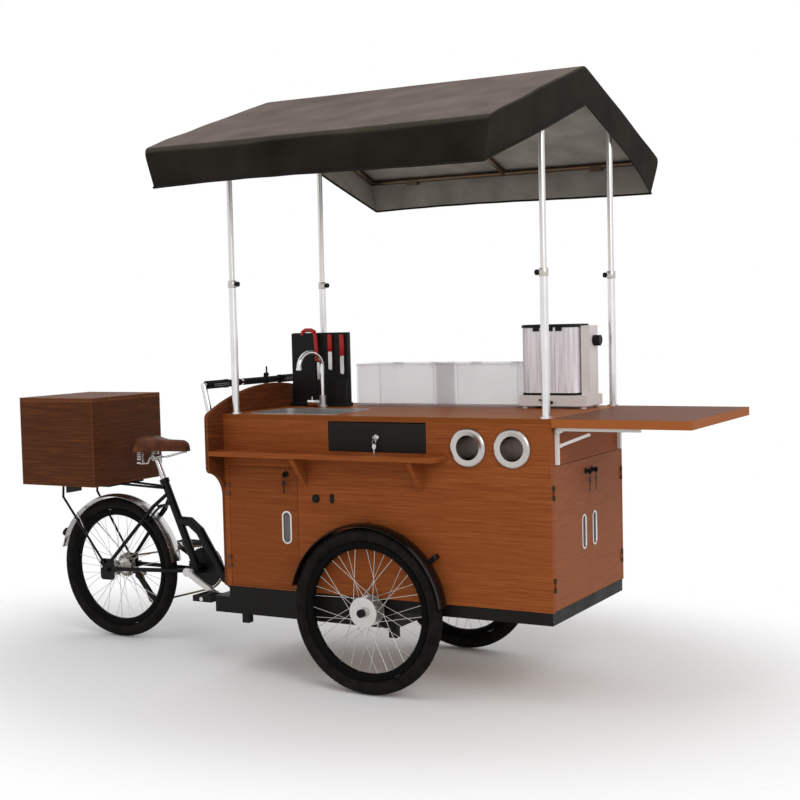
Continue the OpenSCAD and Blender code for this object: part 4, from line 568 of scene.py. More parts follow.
def rounded_outline(length, width, corner, count):
    """Evenly spaced points, with their outward directions, round a rectangle with round corners."""
    straight_x, straight_y = length - 2 * corner, width - 2 * corner
    quarter = corner * math.pi / 2
    runs = [straight_y / 2, quarter, straight_x, quarter, straight_y, quarter, straight_x, quarter,
        straight_y / 2]
    total = sum(runs)
    starts = [(length / 2, 0), None, (straight_x / 2, width / 2), None, (-length / 2, straight_y / 2), None,
        (-straight_x / 2, -width / 2), None, (length / 2, -straight_y / 2)]
    heads = [90, None, 180, None, 270, None, 0, None, 90]
    centres = {1: (1, 1, 0), 3: (-1, 1, 90), 5: (-1, -1, 180), 7: (1, -1, 270)}
    found = []
    for k in range(count):
        left = total * k / count
        run = 0
        while left > runs[run]:
            left -= runs[run]
            run += 1
        if run in centres:
            sign_x, sign_y, first = centres[run]
            angle = math.radians(first + 90 * left / quarter)
            out = Vector((math.cos(angle), math.sin(angle), 0))
            middle = Vector((sign_x * straight_x / 2, sign_y * straight_y / 2, 0))
            found.append((middle + corner * out, out))
        else:
            ahead = Vector((math.cos(math.radians(heads[run])), math.sin(math.radians(heads[run])), 0))
            found.append((Vector((*starts[run], 0)) + left * ahead, Vector((ahead.y, -ahead.x, 0))))
    return found


drum_low, drum_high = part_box("steamer_drum")
base_low, base_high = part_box("steamer_base")
drum_length, drum_width, drum_corner = 0.223, 0.153, 0.030
drum_foot, lid_rise, lid_gap = 0.050, 0.011, 0.0005
drum_floor, drum_top = base_low.z + drum_foot, drum_high.z - lid_rise
drum_middle = Vector(((drum_low.x + drum_high.x) / 2, (base_low.y + base_high.y) / 2, 0))
flutes, points_per_flute, flute_depth, drum_wall, drum_inset = 56, 4, 0.0016, 0.003, 0.004
drum_clear, drum_tree, drum_shader = new_finish("drum_clear", tone(214, 205, 210), 0.3, shine=0.35)
drum_streaks = mottle(drum_tree, (130, 130, 4), 5, 0.2)
drum_fog = mottle(drum_tree, (14, 14, 9), 4)
# The bright vertical streaks in the drum's colour are painted highlights of its flutes, over the plastic's
# cloudy milk tone.
drum_milk_painted_highlights = shades(drum_tree, drum_streaks, (0.3, tone(188, 180, 187)), (0.5, tone(234, 228, 233)),
    (0.68, tone(252, 251, 253)))
drum_fogged = mixed(drum_tree, span(drum_tree, drum_fog, 0.0, 0.5), drum_milk_painted_highlights, tone(240, 235, 239))
drum_tree.links.new(drum_fogged, drum_shader.inputs["Base Color"])
drum_tree.links.new(span(drum_tree, drum_fog, 0.22, 0.42), drum_shader.inputs["Roughness"])
relief(drum_tree, drum_shader, drum_streaks, 0.0003)
drum_shape = bmesh.new()
drum_outline = rounded_outline(drum_length, drum_width, drum_corner, flutes * points_per_flute)
drum_rise = drum_top - drum_floor
drum_loops = []
for height, fluted in ((0.0, 0), (0.012, 0), (0.018, 1), (drum_rise - 0.018, 1), (drum_rise - 0.010, 0),
        (drum_rise - lid_gap, 0)):
    ring = []
    for k, (point, out) in enumerate(drum_outline):
        wave = 0.5 + 0.5 * math.cos(2 * math.pi * k / points_per_flute)
        ring.append(drum_middle + point - out * fluted * flute_depth * wave + upward * (drum_floor + height))
    drum_loops.append(ring)
for height in (drum_top - lid_gap, drum_floor + drum_wall):
    drum_loops.append([drum_middle + point - out * drum_inset + upward * height
        for point, out in drum_outline])
add_skin(drum_shape, drum_loops)
drum = make_piece("drum_shell", drum_shape, drum_clear, "cart", 60)
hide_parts("steamer_drum")


def add_rings(shape, middle, outline, steps, caps=True):
    """Skin of rings round a middle: each step is how far its ring is drawn in, and its height."""
    add_skin(shape, [[middle + point - out * inset + upward * height for point, out in outline]
        for inset, height in steps], caps=caps)


def add_block(shape, low, high, corner, ease):
    """Upright block between two opposite corners, its corners rounded and its rims eased."""
    middle = Vector(((low.x + high.x) / 2, (low.y + high.y) / 2, 0))
    outline = rounded_outline(high.x - low.x, high.y - low.y, corner, 48)
    add_rings(shape, middle, outline, ((ease, low.z), (0, low.z + ease), (0, high.z - ease), (ease, high.z)))


lid_over, trim_over = 0.004, 0.0015
lid_outline, trim_outline = [
    rounded_outline(drum_length + 2 * over, drum_width + 2 * over, drum_corner + over, 96)
    for over in (lid_over, trim_over)]
lid_shape = bmesh.new()
lid_steps = ((0.004, 0.0), (0.0, 0.0), (0.0, 0.005), (0.0012, 0.006), (0.0012, 0.008), (0.004, 0.0105),
    (0.012, 0.011), (0.030, 0.0106))
add_rings(lid_shape, drum_middle, lid_outline, [(inset, drum_top + height) for inset, height in lid_steps])
drum_face = drum_middle.y - drum_width / 2
tab_size, tab_corner, tab_ease = Vector((0.026, 0.004, 0.0145)), 0.0015, 0.0006
tab_half, tab_out, tab_drop = 0.013, 0.003, 0.014
for tab_x in (-0.0455, 0.0095, 0.0455):
    tab_low = Vector((drum_middle.x + tab_x - tab_half, drum_face - tab_out, drum_top - tab_drop))
    add_block(lid_shape, tab_low, tab_low + tab_size, tab_corner, tab_ease)
make_piece("drum_lid", lid_shape, black_plastic, "cart")

trim_shape = bmesh.new()
trim_steps = ((0.0, 0.0), (0.0, 0.008), (0.0014, 0.009))
add_rings(trim_shape, drum_middle, trim_outline,
    [(inset, drum_floor + height) for inset, height in trim_steps], caps=False)
lever_from_end, lever_out, lever_height, lever_radius, lever_sunk = 0.085, 0.004, 0.034, 0.003, 0.006
lever_reach, lever_lean = Vector((0.045, -0.008, -0.008)), Vector((0.9, -0.35, -0.2)).normalized()
lever_knob = ((0.0, -0.004), (0.004, -0.003), (0.0062, 0.003), (0.0064, 0.010), (0.0045, 0.014),
    (0.0, 0.015))
lever_foot = Vector((base_low.x + lever_from_end, base_low.y - lever_out, base_low.z + lever_height))
lever_tip = lever_foot + lever_reach
lever_path = [lever_foot + along_y * lever_sunk, lever_foot, lever_foot.lerp(lever_tip, 0.5), lever_tip]
add_tube(trim_shape, lever_path, lever_radius)
add_turned(trim_shape, lever_tip, lever_lean, lever_knob, 16)
make_piece("steamer_trim", trim_shape, black_plastic, "cart")

handle_shape = bmesh.new()
handle_radius, handle_out = 0.005, base_low.y - 0.012
handle_turns = ((drum_face + 0.002, 0.040), (handle_out + 0.010, 0.040), (handle_out + 0.003, 0.043),
    (handle_out, 0.050), (handle_out, 0.205), (handle_out + 0.003, 0.212), (handle_out + 0.010, 0.215),
    (drum_face + 0.002, 0.215))
handle_path = [Vector((drum_middle.x, y, drum_floor + rise)) for y, rise in handle_turns]
add_tube(handle_shape, handle_path, handle_radius, 12)
make_piece("steamer_handle", handle_shape, cream_enamel, "cart", 60)

# Utensil rack: a black plastic board on a foot behind the tap, with a knife block and a pocket.
# Red-handled tools hang on its front: two knives with bright blades and one with a bent loop handle.
rack_low, rack_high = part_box("utensil_rack")
board_front, board_back, block_share, split_gap = 0.028, 0.052, 0.44, 0.004
block_out, pocket_out, pocket_top, rack_inset, seam = 0.014, 0.020, 0.110, 0.002, 0.001
foot_height, foot_corner, board_corner, rack_ease = 0.016, 0.004, 0.003, 0.0015
rack_front, rack_back = rack_low.y + board_front, rack_low.y + board_back
rack_split = rack_low.x + block_share * (rack_high.x - rack_low.x)
board_foot, block_foot = rack_low.z + foot_height - seam / 2, rack_low.z + foot_height + seam / 2
rack_shape = bmesh.new()
foot_top = Vector((rack_high.x, rack_high.y, rack_low.z + foot_height))
add_block(rack_shape, rack_low, foot_top, foot_corner, rack_ease)
for low, high in (
    ((rack_low.x, rack_front, board_foot), (rack_high.x, rack_back, rack_high.z)),
    ((rack_low.x + rack_inset, rack_front - block_out, block_foot),
        (rack_split, rack_front + seam, rack_high.z - rack_inset)),
    ((rack_split + split_gap, rack_front - pocket_out, block_foot),
        (rack_high.x - rack_inset, rack_front + seam, rack_low.z + pocket_top)),
):
    add_block(rack_shape, Vector(low), Vector(high), board_corner, rack_ease)
rack = make_piece("rack_boards", rack_shape, black_plastic, "cart")
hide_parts("utensil_rack")

tool_red = paint_finish("tool_red", tone(176, 28, 26), tone(206, 84, 78), 0.38, shine=0.3)
tool_steel = metal_finish("tool_steel", tone(206, 204, 200), 0.22, (900, 900, 40))
handles, blades = bmesh.new(), bmesh.new()
loop_path = ((0.054, -0.009, 0.290), (0.056, -0.009, 0.303), (0.070, -0.010, 0.311), (0.098, -0.012, 0.311),
    (0.116, -0.016, 0.304), (0.123, -0.019, 0.285), (0.127, -0.021, 0.235), (0.129, -0.020, 0.185))
rack_corner = Vector((rack_low.x, rack_front, rack_low.z))
loop_radius, tool_out, handle_end, blade_below, tool_thickness = 0.0085, 0.0070, 0.292, 0.0355, 0.0018
handle_half_x, handle_half_y, handle_corner, handle_ease = 0.010, 0.006, 0.0055, 0.003
add_tube(handles, [rack_corner + Vector(place) for place in loop_path], loop_radius, 14)
knife_outline = ((-0.009, -0.035), (0.006, -0.040), (0.009, -0.030), (0.009, 0.0375), (-0.009, 0.0375))
for tool_x, handle_foot, straight in ((0.129, 0.178, False), (0.184, 0.222, True), (0.240, 0.205, True)):
    grip = Vector((rack_low.x + tool_x, rack_front - tool_out, rack_low.z + handle_foot))
    if straight:
        handle_low = grip - Vector((handle_half_x, handle_half_y, 0))
        handle_high = grip + Vector((handle_half_x, handle_half_y, handle_end - handle_foot))
        add_block(handles, handle_low, handle_high, handle_corner, handle_ease)
    add_plate(blades, grip - upward * blade_below, knife_outline, along_x, upward, tool_thickness)
make_piece("tool_handles", handles, tool_red, "cart", 50)
make_piece("tool_blades", blades, tool_steel, "cart", 40)

# Poles: bright drawn alloy tubes stepped into foot flanges on the counter, telescoping at their tops.
# A slim alloy collar with a round black knob pinches each pair of tubes at the height that is wanted.
# The rails and rafters of the frame that they carry are bronzed.
pole_alloy = metal_finish("pole_alloy", tone(226, 224, 224), 0.26, (700, 700, 12))
tube_alloy = metal_finish("tube_alloy", tone(196, 192, 186), 0.3, (300, 60, 300))
rail_bronze, rail_tree, rail_shader = new_finish("rail_bronze", tone(120, 100, 82), 0.38, 1.0)
rail_marks = mottle(rail_tree, (300, 60, 300), 4)
rail_spot = rail_tree.nodes.new("ShaderNodeSeparateXYZ")
rail_tree.links.new(own_place(rail_tree), rail_spot.inputs[0])
rail_side = reckon(rail_tree, "ABSOLUTE", rail_spot.outputs["Y"])
roof_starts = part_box("canopy_cover")[0].z
bronze_above, bronze_outside = (roof_starts + 0.21, roof_starts + 0.22), (0.345, 0.35)
rail_high = span(rail_tree, rail_spot.outputs["Z"], 0.0, 1.0, *bronze_above)
rail_wide = span(rail_tree, rail_side, 0.0, 1.0, *bronze_outside)
rail_share = reckon(rail_tree, "MAXIMUM", rail_high, rail_wide)
rail_tones = mixed(rail_tree, rail_share, tone(214, 211, 208), tone(104, 86, 70))
rail_tree.links.new(rail_tones, rail_shader.inputs["Base Color"])
rail_tree.links.new(span(rail_tree, rail_marks, 0.24, 0.44), rail_shader.inputs["Roughness"])
relief(rail_tree, rail_shader, rail_marks, 0.00003, 0.0006)
dress(pole_alloy, "lower_poles")
dress(rail_bronze, "canopy_frame")
pole_low, pole_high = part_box("lower_poles")
clamp_low, clamp_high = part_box("pole_clamps")
pole_foot_r, pole_r = 0.022, 0.014
pole_xs, pole_out = (pole_low.x + pole_foot_r, pole_high.x - pole_foot_r), pole_high.y - pole_foot_r
collar_height = clamp_high.z - clamp_low.z
collar_steps = ((pole_r, 0.0), (0.0160, 0.0), (0.0166, 0.001), (0.0166, collar_height - 0.001),
    (0.0160, collar_height), (pole_r, collar_height))
knob_profile = ((0.0035, 0.015), (0.0035, 0.018), (0.0080, 0.0185), (0.0098, 0.0205), (0.0098, 0.0285),
    (0.0080, 0.0310), (0.0, 0.0312))
collars, knobs = bmesh.new(), bmesh.new()
for pole_x, inward in zip(pole_xs, (1, -1)):
    for side in (-1, 1):
        foot = Vector((pole_x, side * pole_out, clamp_low.z))
        add_skin(collars, [circle(foot + upward * height, radius, along_x, along_y, 32)
            for radius, height in collar_steps], caps=False)
        add_turned(knobs, foot + upward * collar_height / 2, along_x * inward, knob_profile, 24)
collar = make_piece("pole_collars", collars, tube_alloy, "cart", 40)
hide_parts("pole_clamps")
make_piece("collar_knobs", knobs, black_plastic, "cart", 40)

# Canopy: one proofed cloth sewn to the shape of the roof, with hanging edges on all four sides.
# It is stretched over the rafters and bound with black tape; its top and shoulders are painted lighter as
# the light that falls on them, and its inside paler as the light that shines through the cloth.
cover_low, cover_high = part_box("canopy_cover")
gable_out = 0.004
cover_low.x -= gable_out
cover_high.x += gable_out
hang = 0.136
corner_in, eave_in = 0.032, 0.012
roof_sag, fold_depth, fold_count = 0.009, 0.005, 7
cloth_thickness, hem_lift, shoulder_out = 0.002, 0.013, 0.010
shoulder_in, slack_in, rear_in = 0.022, 0.004, 0.003
shoulder_drop, slack_drop, rear_drop = 0.032, 0.012, 0.006
gable_crease, corner_crease, roof_rumple, edge_rumple = 0.0052, 0.0040, 0.0030, 0.004
gable_waves, corner_waves, pole_clear, hem_radius = 34, 30, 0.06, 0.0044
length_steps, roof_steps, shoulder_steps, hang_steps, gable_steps = 88, 26, 7, 8, 28
end_strip, seam_within = 0.006, 0.0009
half_width, ridge_z = cover_high.y, cover_high.z
eave_z, roof_length = cover_low.z + hang, cover_high.x - cover_low.x
rafter_rear, rafter_span = pole_xs[0], (pole_xs[1] - pole_xs[0]) / 2


def from_rear(x):
    """Share of the way from the roof's rear end to its front."""
    return (x - cover_low.x) / roof_length


def off_rafters(x):
    """How slack the cloth is at a place along the cart: 0 on a rafter and 1 halfway between two."""
    return math.sin(math.pi * (x - rafter_rear) / rafter_span) ** 2


def crease(x, across, side):
    """Small wrinkles that pull from the corners and along the front gable, always outwards."""
    share = from_rear(x)
    front = math.exp(-((share - 0.9) / 0.13) ** 2)
    fan = 0.5 + 0.5 * math.sin(gable_waves * (share * 0.62 + across * 0.36))
    corner = math.exp(-((share / 0.16) ** 2 + ((1 - across) / 0.5) ** 2))
    ripple = 0.5 + 0.5 * math.sin(corner_waves * (share - 0.7 * across))
    rumple = 0.5 + 0.5 * noise.noise(Vector((x * 3.1, across * 2.3 + 5 * side, 1.7)))
    edge = min(1.0, 6 * across, 8 * (1 - across))
    return edge * (gable_crease * front * fan + corner_crease * corner * ripple + roof_rumple * rumple)


def roof_point(x, across, side):
    """Point of a roof plane at a place along the cart and a share of the way from ridge to eave."""
    sag = max(0.0, off_rafters(x) - 0.06)
    lift = crease(x, across, side) - roof_sag * sag * math.sin(math.pi * across)
    return Vector((x, side * half_width * across, ridge_z - (ridge_z - eave_z) * across + lift))


def edge_point(x, down, side):
    """Point of a hanging edge along an eave, drawn in towards its lower corners."""
    middle = (cover_low.x + cover_high.x) / 2
    share = from_rear(x)
    free = math.sin(math.pi * share)
    wave = fold_depth * down * math.sin(2 * math.pi * fold_count * share) * free
    rumple = edge_rumple * noise.noise(Vector((x * 5, side * 3, down * 1.4))) * down * free
    drawn = (middle - x) / (middle - cover_low.x) * down * corner_in
    lift = hem_lift * down * free * (1 - share)
    y = side * (half_width - down * eave_in + wave + rumple)
    return Vector((x + drawn, y, eave_z - down * hang + lift))


def gable_point(end, across, side, down):
    """Point of the hanging edge under a gable; end is 0 at the rear and 1 at the front."""
    y = half_width * across
    free = max(0.0, (y - pole_out - pole_clear) / (half_width - pole_out - pole_clear)) ** 1.5
    x = cover_low.x + corner_in * free * down if end == 0 else cover_high.x - corner_in * free * down
    z = ridge_z - (ridge_z - eave_z) * across - down * hang
    return Vector((x, side * (y - eave_in * down * across ** 8), z))


def cross_section(x, side):
    """The cloth from the ridge to its lower edge: roof, soft shoulder over the eave rail, hanging edge."""
    slack, rear = off_rafters(x), 1 - from_rear(x)
    before = shoulder_in + slack_in * slack + rear_in * rear
    after = (shoulder_drop + slack_drop * slack + rear_drop * rear) / hang
    flat = [roof_point(x, (1 - before / half_width) * k / roof_steps, side) for k in range(roof_steps + 1)]
    lower = [edge_point(x, after + (1 - after) * k / hang_steps, side) for k in range(hang_steps + 1)]
    bulge = shoulder_out if cover_low.x < x < cover_high.x else 0.0
    corner = Vector((x, side * (half_width + bulge), eave_z))
    turned = []
    for k in range(1, shoulder_steps):
        t = k / shoulder_steps
        turned.append((1 - t) ** 2 * flat[-1] + 2 * t * (1 - t) * corner + t ** 2 * lower[0])
    return flat + turned + lower


cloth_shape = bmesh.new()
stations = [cover_low.x + roof_length * k / length_steps for k in range(length_steps + 1)]
stations = sorted(stations + [cover_low.x + end_strip, cover_high.x - end_strip])
for side in (-1, 1):
    sections = [cross_section(x, side) for x in stations]
    add_skin(cloth_shape, sections, closed=False, caps=False)
    for end, section in ((0, sections[0]), (1, sections[-1])):
        band = []
        for k, point in enumerate(section[:roof_steps + shoulder_steps + 1]):
            across = abs(section[min(k, roof_steps)].y) / half_width
            across += (1 - across) * max(0, k - roof_steps) / shoulder_steps
            foot = gable_point(end, across, side, 1)
            band.append([point.lerp(foot, step / hang_steps) for step in range(hang_steps + 1)])
        add_skin(cloth_shape, band, closed=False, caps=False)
bmesh.ops.remove_doubles(cloth_shape, verts=cloth_shape.verts, dist=seam_within)

cloth_outer, cloth_tree, cloth_shader = new_finish("canopy_cloth", tone(40, 36, 31), 0.9, shine=0.02)


def weave(tree, threads):
    """Plain weave of so many threads to a metre, raised where a thread passes over."""
    one_band_a_metre = 2 * math.pi / 20
    place = own_place(tree)
    bands = []
    for axis in ("X", "Y", "Z"):
        stripes = tree.nodes.new("ShaderNodeTexWave")
        stripes.bands_direction = axis
        stripes.inputs["Scale"].default_value = threads / 2 * one_band_a_metre
        tree.links.new(place, stripes.inputs["Vector"])
        bands.append(stripes.outputs["Fac"])
    return reckon(tree, "ADD", reckon(tree, "ADD", bands[0], bands[1]), bands[2])


def clouded(tree, shader, clouds_per_metre, *stops):
    """Colours a finish by clouds of an even size; returns the clouds for its other patterns."""
    clouds = mottle(tree, (clouds_per_metre,) * 3, 5)
    tree.links.new(shades(tree, clouds, *stops), shader.inputs["Base Color"])
    return clouds


cloth_clouds = mottle(cloth_tree, (6, 6, 6), 5)
# Upward-facing cloth is painted lighter as the light that falls on it: a pale tone on the roof planes and an
# olive tone on the shoulders over the eaves. The dark tone is the cloth's own.
cloth_dark = shades(cloth_tree, cloth_clouds, (0.3, tone(30, 27, 22)), (0.7, tone(44, 40, 34)))
cloth_painted_top_light = shades(cloth_tree, cloth_clouds, (0.3, tone(98, 87, 82)), (0.7, tone(122, 108, 102)))
cloth_painted_shoulder_light = shades(cloth_tree, cloth_clouds, (0.3, tone(54, 51, 43)), (0.7, tone(70, 66, 57)))
cloth_lower_painted_light = mixed(cloth_tree, facing_up(cloth_tree, 0.04, 0.3), cloth_dark, cloth_painted_shoulder_light)
cloth_tones = mixed(cloth_tree, facing_up(cloth_tree, 0.74, 0.93), cloth_lower_painted_light, cloth_painted_top_light)
cloth_tree.links.new(cloth_tones, cloth_shader.inputs["Base Color"])
cloth_shader.inputs["Sheen Weight"].default_value = 0.03
cloth_shader.inputs["Sheen Roughness"].default_value = 0.5
relief(cloth_tree, cloth_shader, weave(cloth_tree, 900), 0.00025)

# The inside faces get a paler copy of the cloth, painted as the light that shines through it.
cloth_inside_painted_light, inside_light_tree, inside_light_shader = new_finish("canopy_inside_painted_light", tone(136, 130, 123), 0.8, shine=0.05)
clouded(inside_light_tree, inside_light_shader, 9, (0.3, tone(134, 130, 121)), (0.7, tone(160, 154, 146)))
relief(inside_light_tree, inside_light_shader, weave(inside_light_tree, 900), 0.0002)

canopy = make_piece("canopy_cloth", cloth_shape, cloth_outer, "canopy", 180)
canopy.data.materials.append(cloth_inside_painted_light)
if canopy.data.polygons[0].normal.z < 0:
    canopy.data.flip_normals()
rounding = canopy.modifiers.new("eave_rounding", "SUBSURF")
rounding.levels = 1
rounding.render_levels = 1
thickness = canopy.modifiers.new("cloth_thickness", "SOLIDIFY")
thickness.thickness = cloth_thickness
thickness.offset = -1
thickness.material_offset = 1
thickness.use_even_offset = False
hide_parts("canopy_cover")

hem_shape = bmesh.new()
hem_path = [edge_point(x, 1, -1) for x in stations[1:-1]]
gable_shares = [k / gable_steps for k in range(-gable_steps, gable_steps + 1)]
hem_path += [gable_point(1, abs(share), math.copysign(1, share), 1) for share in gable_shares]
hem_path += [edge_point(x, 1, 1) for x in reversed(stations[1:-1])]
hem_path += [gable_point(0, abs(share), math.copysign(1, share), 1) for share in reversed(gable_shares)]
add_tube(hem_shape, hem_path, hem_radius, 8, closed=True)
hem_tape = paint_finish("hem_tape", tone(24, 22, 20), tone(40, 38, 34), 0.8)
hem = make_piece("canopy_hem", hem_shape, hem_tape, "canopy", 60)

# Handlebar: a bent chromed tube bolted through the headboard, with ribbed rubber grips and two levers.
# Between the levers' clamps it wears black foam in three lengths, and the shifter's band sits in one gap.
grip_rubber, grip_tree, grip_shader = new_finish("grip_rubber", tone(24, 23, 22), 0.75, shine=0.1)
grip_ribs = grip_tree.nodes.new("ShaderNodeTexWave")
grip_ribs.bands_direction = "Y"
grip_ribs.inputs["Scale"].default_value = 62
grip_tree.links.new(own_place(grip_tree), grip_ribs.inputs["Vector"])
# The grips' grooves are painted darker and their rib crests lighter, as shade and light across the ribbing.
grip_groove_shade = shades(grip_tree, grip_ribs.outputs["Fac"], (0.2, tone(14, 13, 12)), (0.8, tone(34, 33, 31)))
grip_tree.links.new(grip_groove_shade, grip_shader.inputs["Base Color"])
relief(grip_tree, grip_shader, grip_ribs.outputs["Fac"], 0.0008)
lever_alloy = metal_finish("lever_alloy", tone(70, 68, 66), 0.4)
dress(chrome, "handlebar")
dress(grip_rubber, "handlebar_grips", "shifter_lever")
dress(lever_alloy, "brake_lever_near", "brake_lever_far")
bar_low, bar_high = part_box("handlebar")
bar_r, sleeve_r, sleeve_steps = 0.011, 0.0135, 8
bar_middle = Vector((bar_low.x + bar_r, 0, bar_high.z - bar_r))
sleeve_foam = paint_finish("sleeve_foam", tone(18, 17, 16), tone(34, 33, 32), 0.85)
sleeves = bmesh.new()
for start, end in ((-0.178, -0.096), (-0.076, 0.076), (0.096, 0.178)):
    along = [start + (end - start) * k / sleeve_steps for k in range(sleeve_steps + 1)]
    add_tube(sleeves, [bar_middle + along_y * y for y in along], sleeve_r, 20)
make_piece("bar_sleeves", sleeves, sleeve_foam, "cart", 60)

# Wheels: black alloy rims laced with steel spokes to alloy hubs, with treaded balloon tyres.
# The tyres are moulded rubber under a thin dust, and each inner tube has its valve through the rim.
rubber, rubber_tree, rubber_shader = new_finish("tyre_rubber", tone(22, 21, 19), 0.75, shine=0.06)
rubber_dust = clouded(rubber_tree, rubber_shader, 30, (0.35, tone(15, 14, 12)), (0.75, tone(33, 31, 28)))
rubber_tree.links.new(span(rubber_tree, rubber_dust, 0.58, 0.8), rubber_shader.inputs["Roughness"])
relief(rubber_tree, rubber_shader, mottle(rubber_tree, (800, 800, 800), 2), 0.0001)
rim_paint = paint_finish("rim_paint", tone(11, 10, 9), tone(50, 48, 44), 0.6, shine=0.05)
hub_alloy = metal_finish("hub_alloy", tone(204, 202, 198), 0.25)
tyre_section, tread_depth, bead_angle = 0.026, 0.0016, 159
tread_blocks, tread_rows, tread_edge, groove_share, steps_per_block = 92, 5, 62, 0.12, 4
wall_ribs, rib_height, section_steps = ((96, 100), (128, 132)), 0.0007, 60
valve_angle, valve_sunk = math.radians(205), 0.004
valve_profile = ((0.0030, -0.004), (0.0030, 0.010), (0.0024, 0.011), (0.0024, 0.026), (0.0018, 0.028),
    (0.0, 0.030))


def fit_tyre(node, body):
    """Balloon tyre: a round section with staggered tread blocks, ribbed sidewalls and open beads."""
    low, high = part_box(node)
    middle = (low + high) / 2
    mean_r = (high.z - low.z) / 2 - tyre_section
    shape = bmesh.new()
    loops = []
    for step, turn_angle in enumerate(full_turn(tread_blocks * steps_per_block)):
        out = Vector((math.cos(turn_angle), 0, math.sin(turn_angle)))
        ring = []
        for k in range(section_steps + 1):
            lean = -bead_angle + 2 * bead_angle * k / section_steps
            depth = 0.0
            if abs(lean) < tread_edge:
                place = (lean + tread_edge) / (2 * tread_edge) * tread_rows
                row = int(place)
                groove = place - row < groove_share or place - row > 1 - groove_share
                gap = (step + 2 * (row % 2)) % steps_per_block == 0 and row != tread_rows // 2
                depth = tread_depth if groove or gap else 0.0
            elif any(start < abs(lean) < end for start, end in wall_ribs):
                depth = -rib_height
            section = tyre_section - depth
            angle = math.radians(lean)
            reach = mean_r + section * math.cos(angle)
            ring.append(middle + out * reach + along_y * section * math.sin(angle))
        loops.append(ring)
    loops.append(loops[0])
    add_skin(shape, loops, closed=False, caps=False)
    bmesh.ops.remove_doubles(shape, verts=shape.verts, dist=1e-6)
    piece = make_piece(node + "_treaded", shape, rubber, body, 40)
    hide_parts(node)
    stem = bmesh.new()
    inward = -Vector((math.cos(valve_angle), 0, math.sin(valve_angle)))
    foot = middle - inward * (mean_r - tyre_section - valve_sunk)
    add_turned(stem, foot, inward, valve_profile, 12)
    make_piece(body + "_valve", stem, lever_alloy, body, 40)


for wheel in ("near", "far", "rear"):
    fit_tyre(wheel + "_tyre", wheel + "_wheel")
    dress(rim_paint, wheel + "_rim")
    dress(hub_alloy, wheel + "_hub")

# Fenders: crowned strips rolled from sheet, black over the front wheels and silver at the rear.
# A round red lens in a black cup is bolted through the tail of the rear one.
fender_gloss = paint_finish("fender_gloss", tone(9, 8, 7), tone(50, 48, 44), 0.2, shine=0.4)
fender_alloy = metal_finish("fender_alloy", tone(208, 206, 204), 0.22)
dress(fender_gloss, "front_fenders")
dress(fender_alloy, "rear_fender")
rear_low, rear_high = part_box("rear_tyre")
rear_axle = (rear_low + rear_high) / 2
tail_angle, fender_r, cup_sunk = math.radians(156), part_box("rear_fender")[1].z - rear_axle.z, 0.001
tail_out = Vector((math.cos(tail_angle), 0, math.sin(tail_angle)))
tail_place = rear_axle + tail_out * (fender_r - cup_sunk)
cup_profile = ((0.0, 0.0), (0.007, 0.0), (0.008, 0.006), (0.0175, 0.008), (0.0190, 0.010), (0.0190, 0.020),
    (0.0172, 0.0215), (0.0166, 0.017), (0.0, 0.017))
lens_profile = ((0.0165, 0.0172), (0.0165, 0.0200), (0.0120, 0.0228), (0.0, 0.0240))
tail_cup, tail_lens = bmesh.new(), bmesh.new()
add_turned(tail_cup, tail_place, tail_out, cup_profile, 32)
add_turned(tail_lens, tail_place, tail_out, lens_profile, 32)
lens_red = paint_finish("lens_red", tone(110, 14, 12), tone(140, 40, 36), 0.18, shine=0.5)
make_piece("tail_cup", tail_cup, black_plastic, "bike", 40)
make_piece("tail_lens", tail_lens, lens_red, "bike", 40)

# Rider's frame: brazed steel tubes painted gloss black, with an alloy seat post clamped in its top.
# A bridge between the stays carries the two arms and rubber blocks of the rear brake.
frame_gloss = paint_finish("frame_gloss", tone(14, 13, 12), tone(60, 58, 54), 0.3)
post_alloy = metal_finish("post_alloy", tone(206, 204, 202), 0.2, (700, 700, 40))
dress(frame_gloss, "bike_frame", "rear_carrier")
dress(post_alloy, "seat_post")
brake_angle, brake_half, brake_top, brake_foot = math.radians(48), 0.044, 0.380, 0.268
bridge_radius, arm_radius, shoe_out, shoe_side, shoe_thickness = 0.006, 0.0048, 0.012, 0.031, 0.008
arm_path = ((0.012, brake_top - 0.004), (0.030, brake_top - 0.014), (0.038, brake_top - 0.034),
    (0.038, brake_foot + 0.01))
shoe_outline = pill(0.011, 0.044, 6)
brake_out = Vector((math.cos(brake_angle), 0, math.sin(brake_angle)))
shoe_run = Vector((-brake_out.z, 0, brake_out.x))
brake_shape = bmesh.new()
bridge_middle = rear_axle + brake_out * brake_top
add_tube(brake_shape, [bridge_middle + along_y * brake_half * k / 4 for k in range(-4, 5)], bridge_radius)
for side in (-1, 1):
    add_tube(brake_shape, [rear_axle + brake_out * r + along_y * side * y for y, r in arm_path], arm_radius)
    shoe = rear_axle + brake_out * (brake_foot + shoe_out) + along_y * side * shoe_side
    add_plate(brake_shape, shoe, shoe_outline, brake_out, shoe_run, shoe_thickness)
make_piece("rear_brake", brake_shape, frame_gloss, "bike", 50)

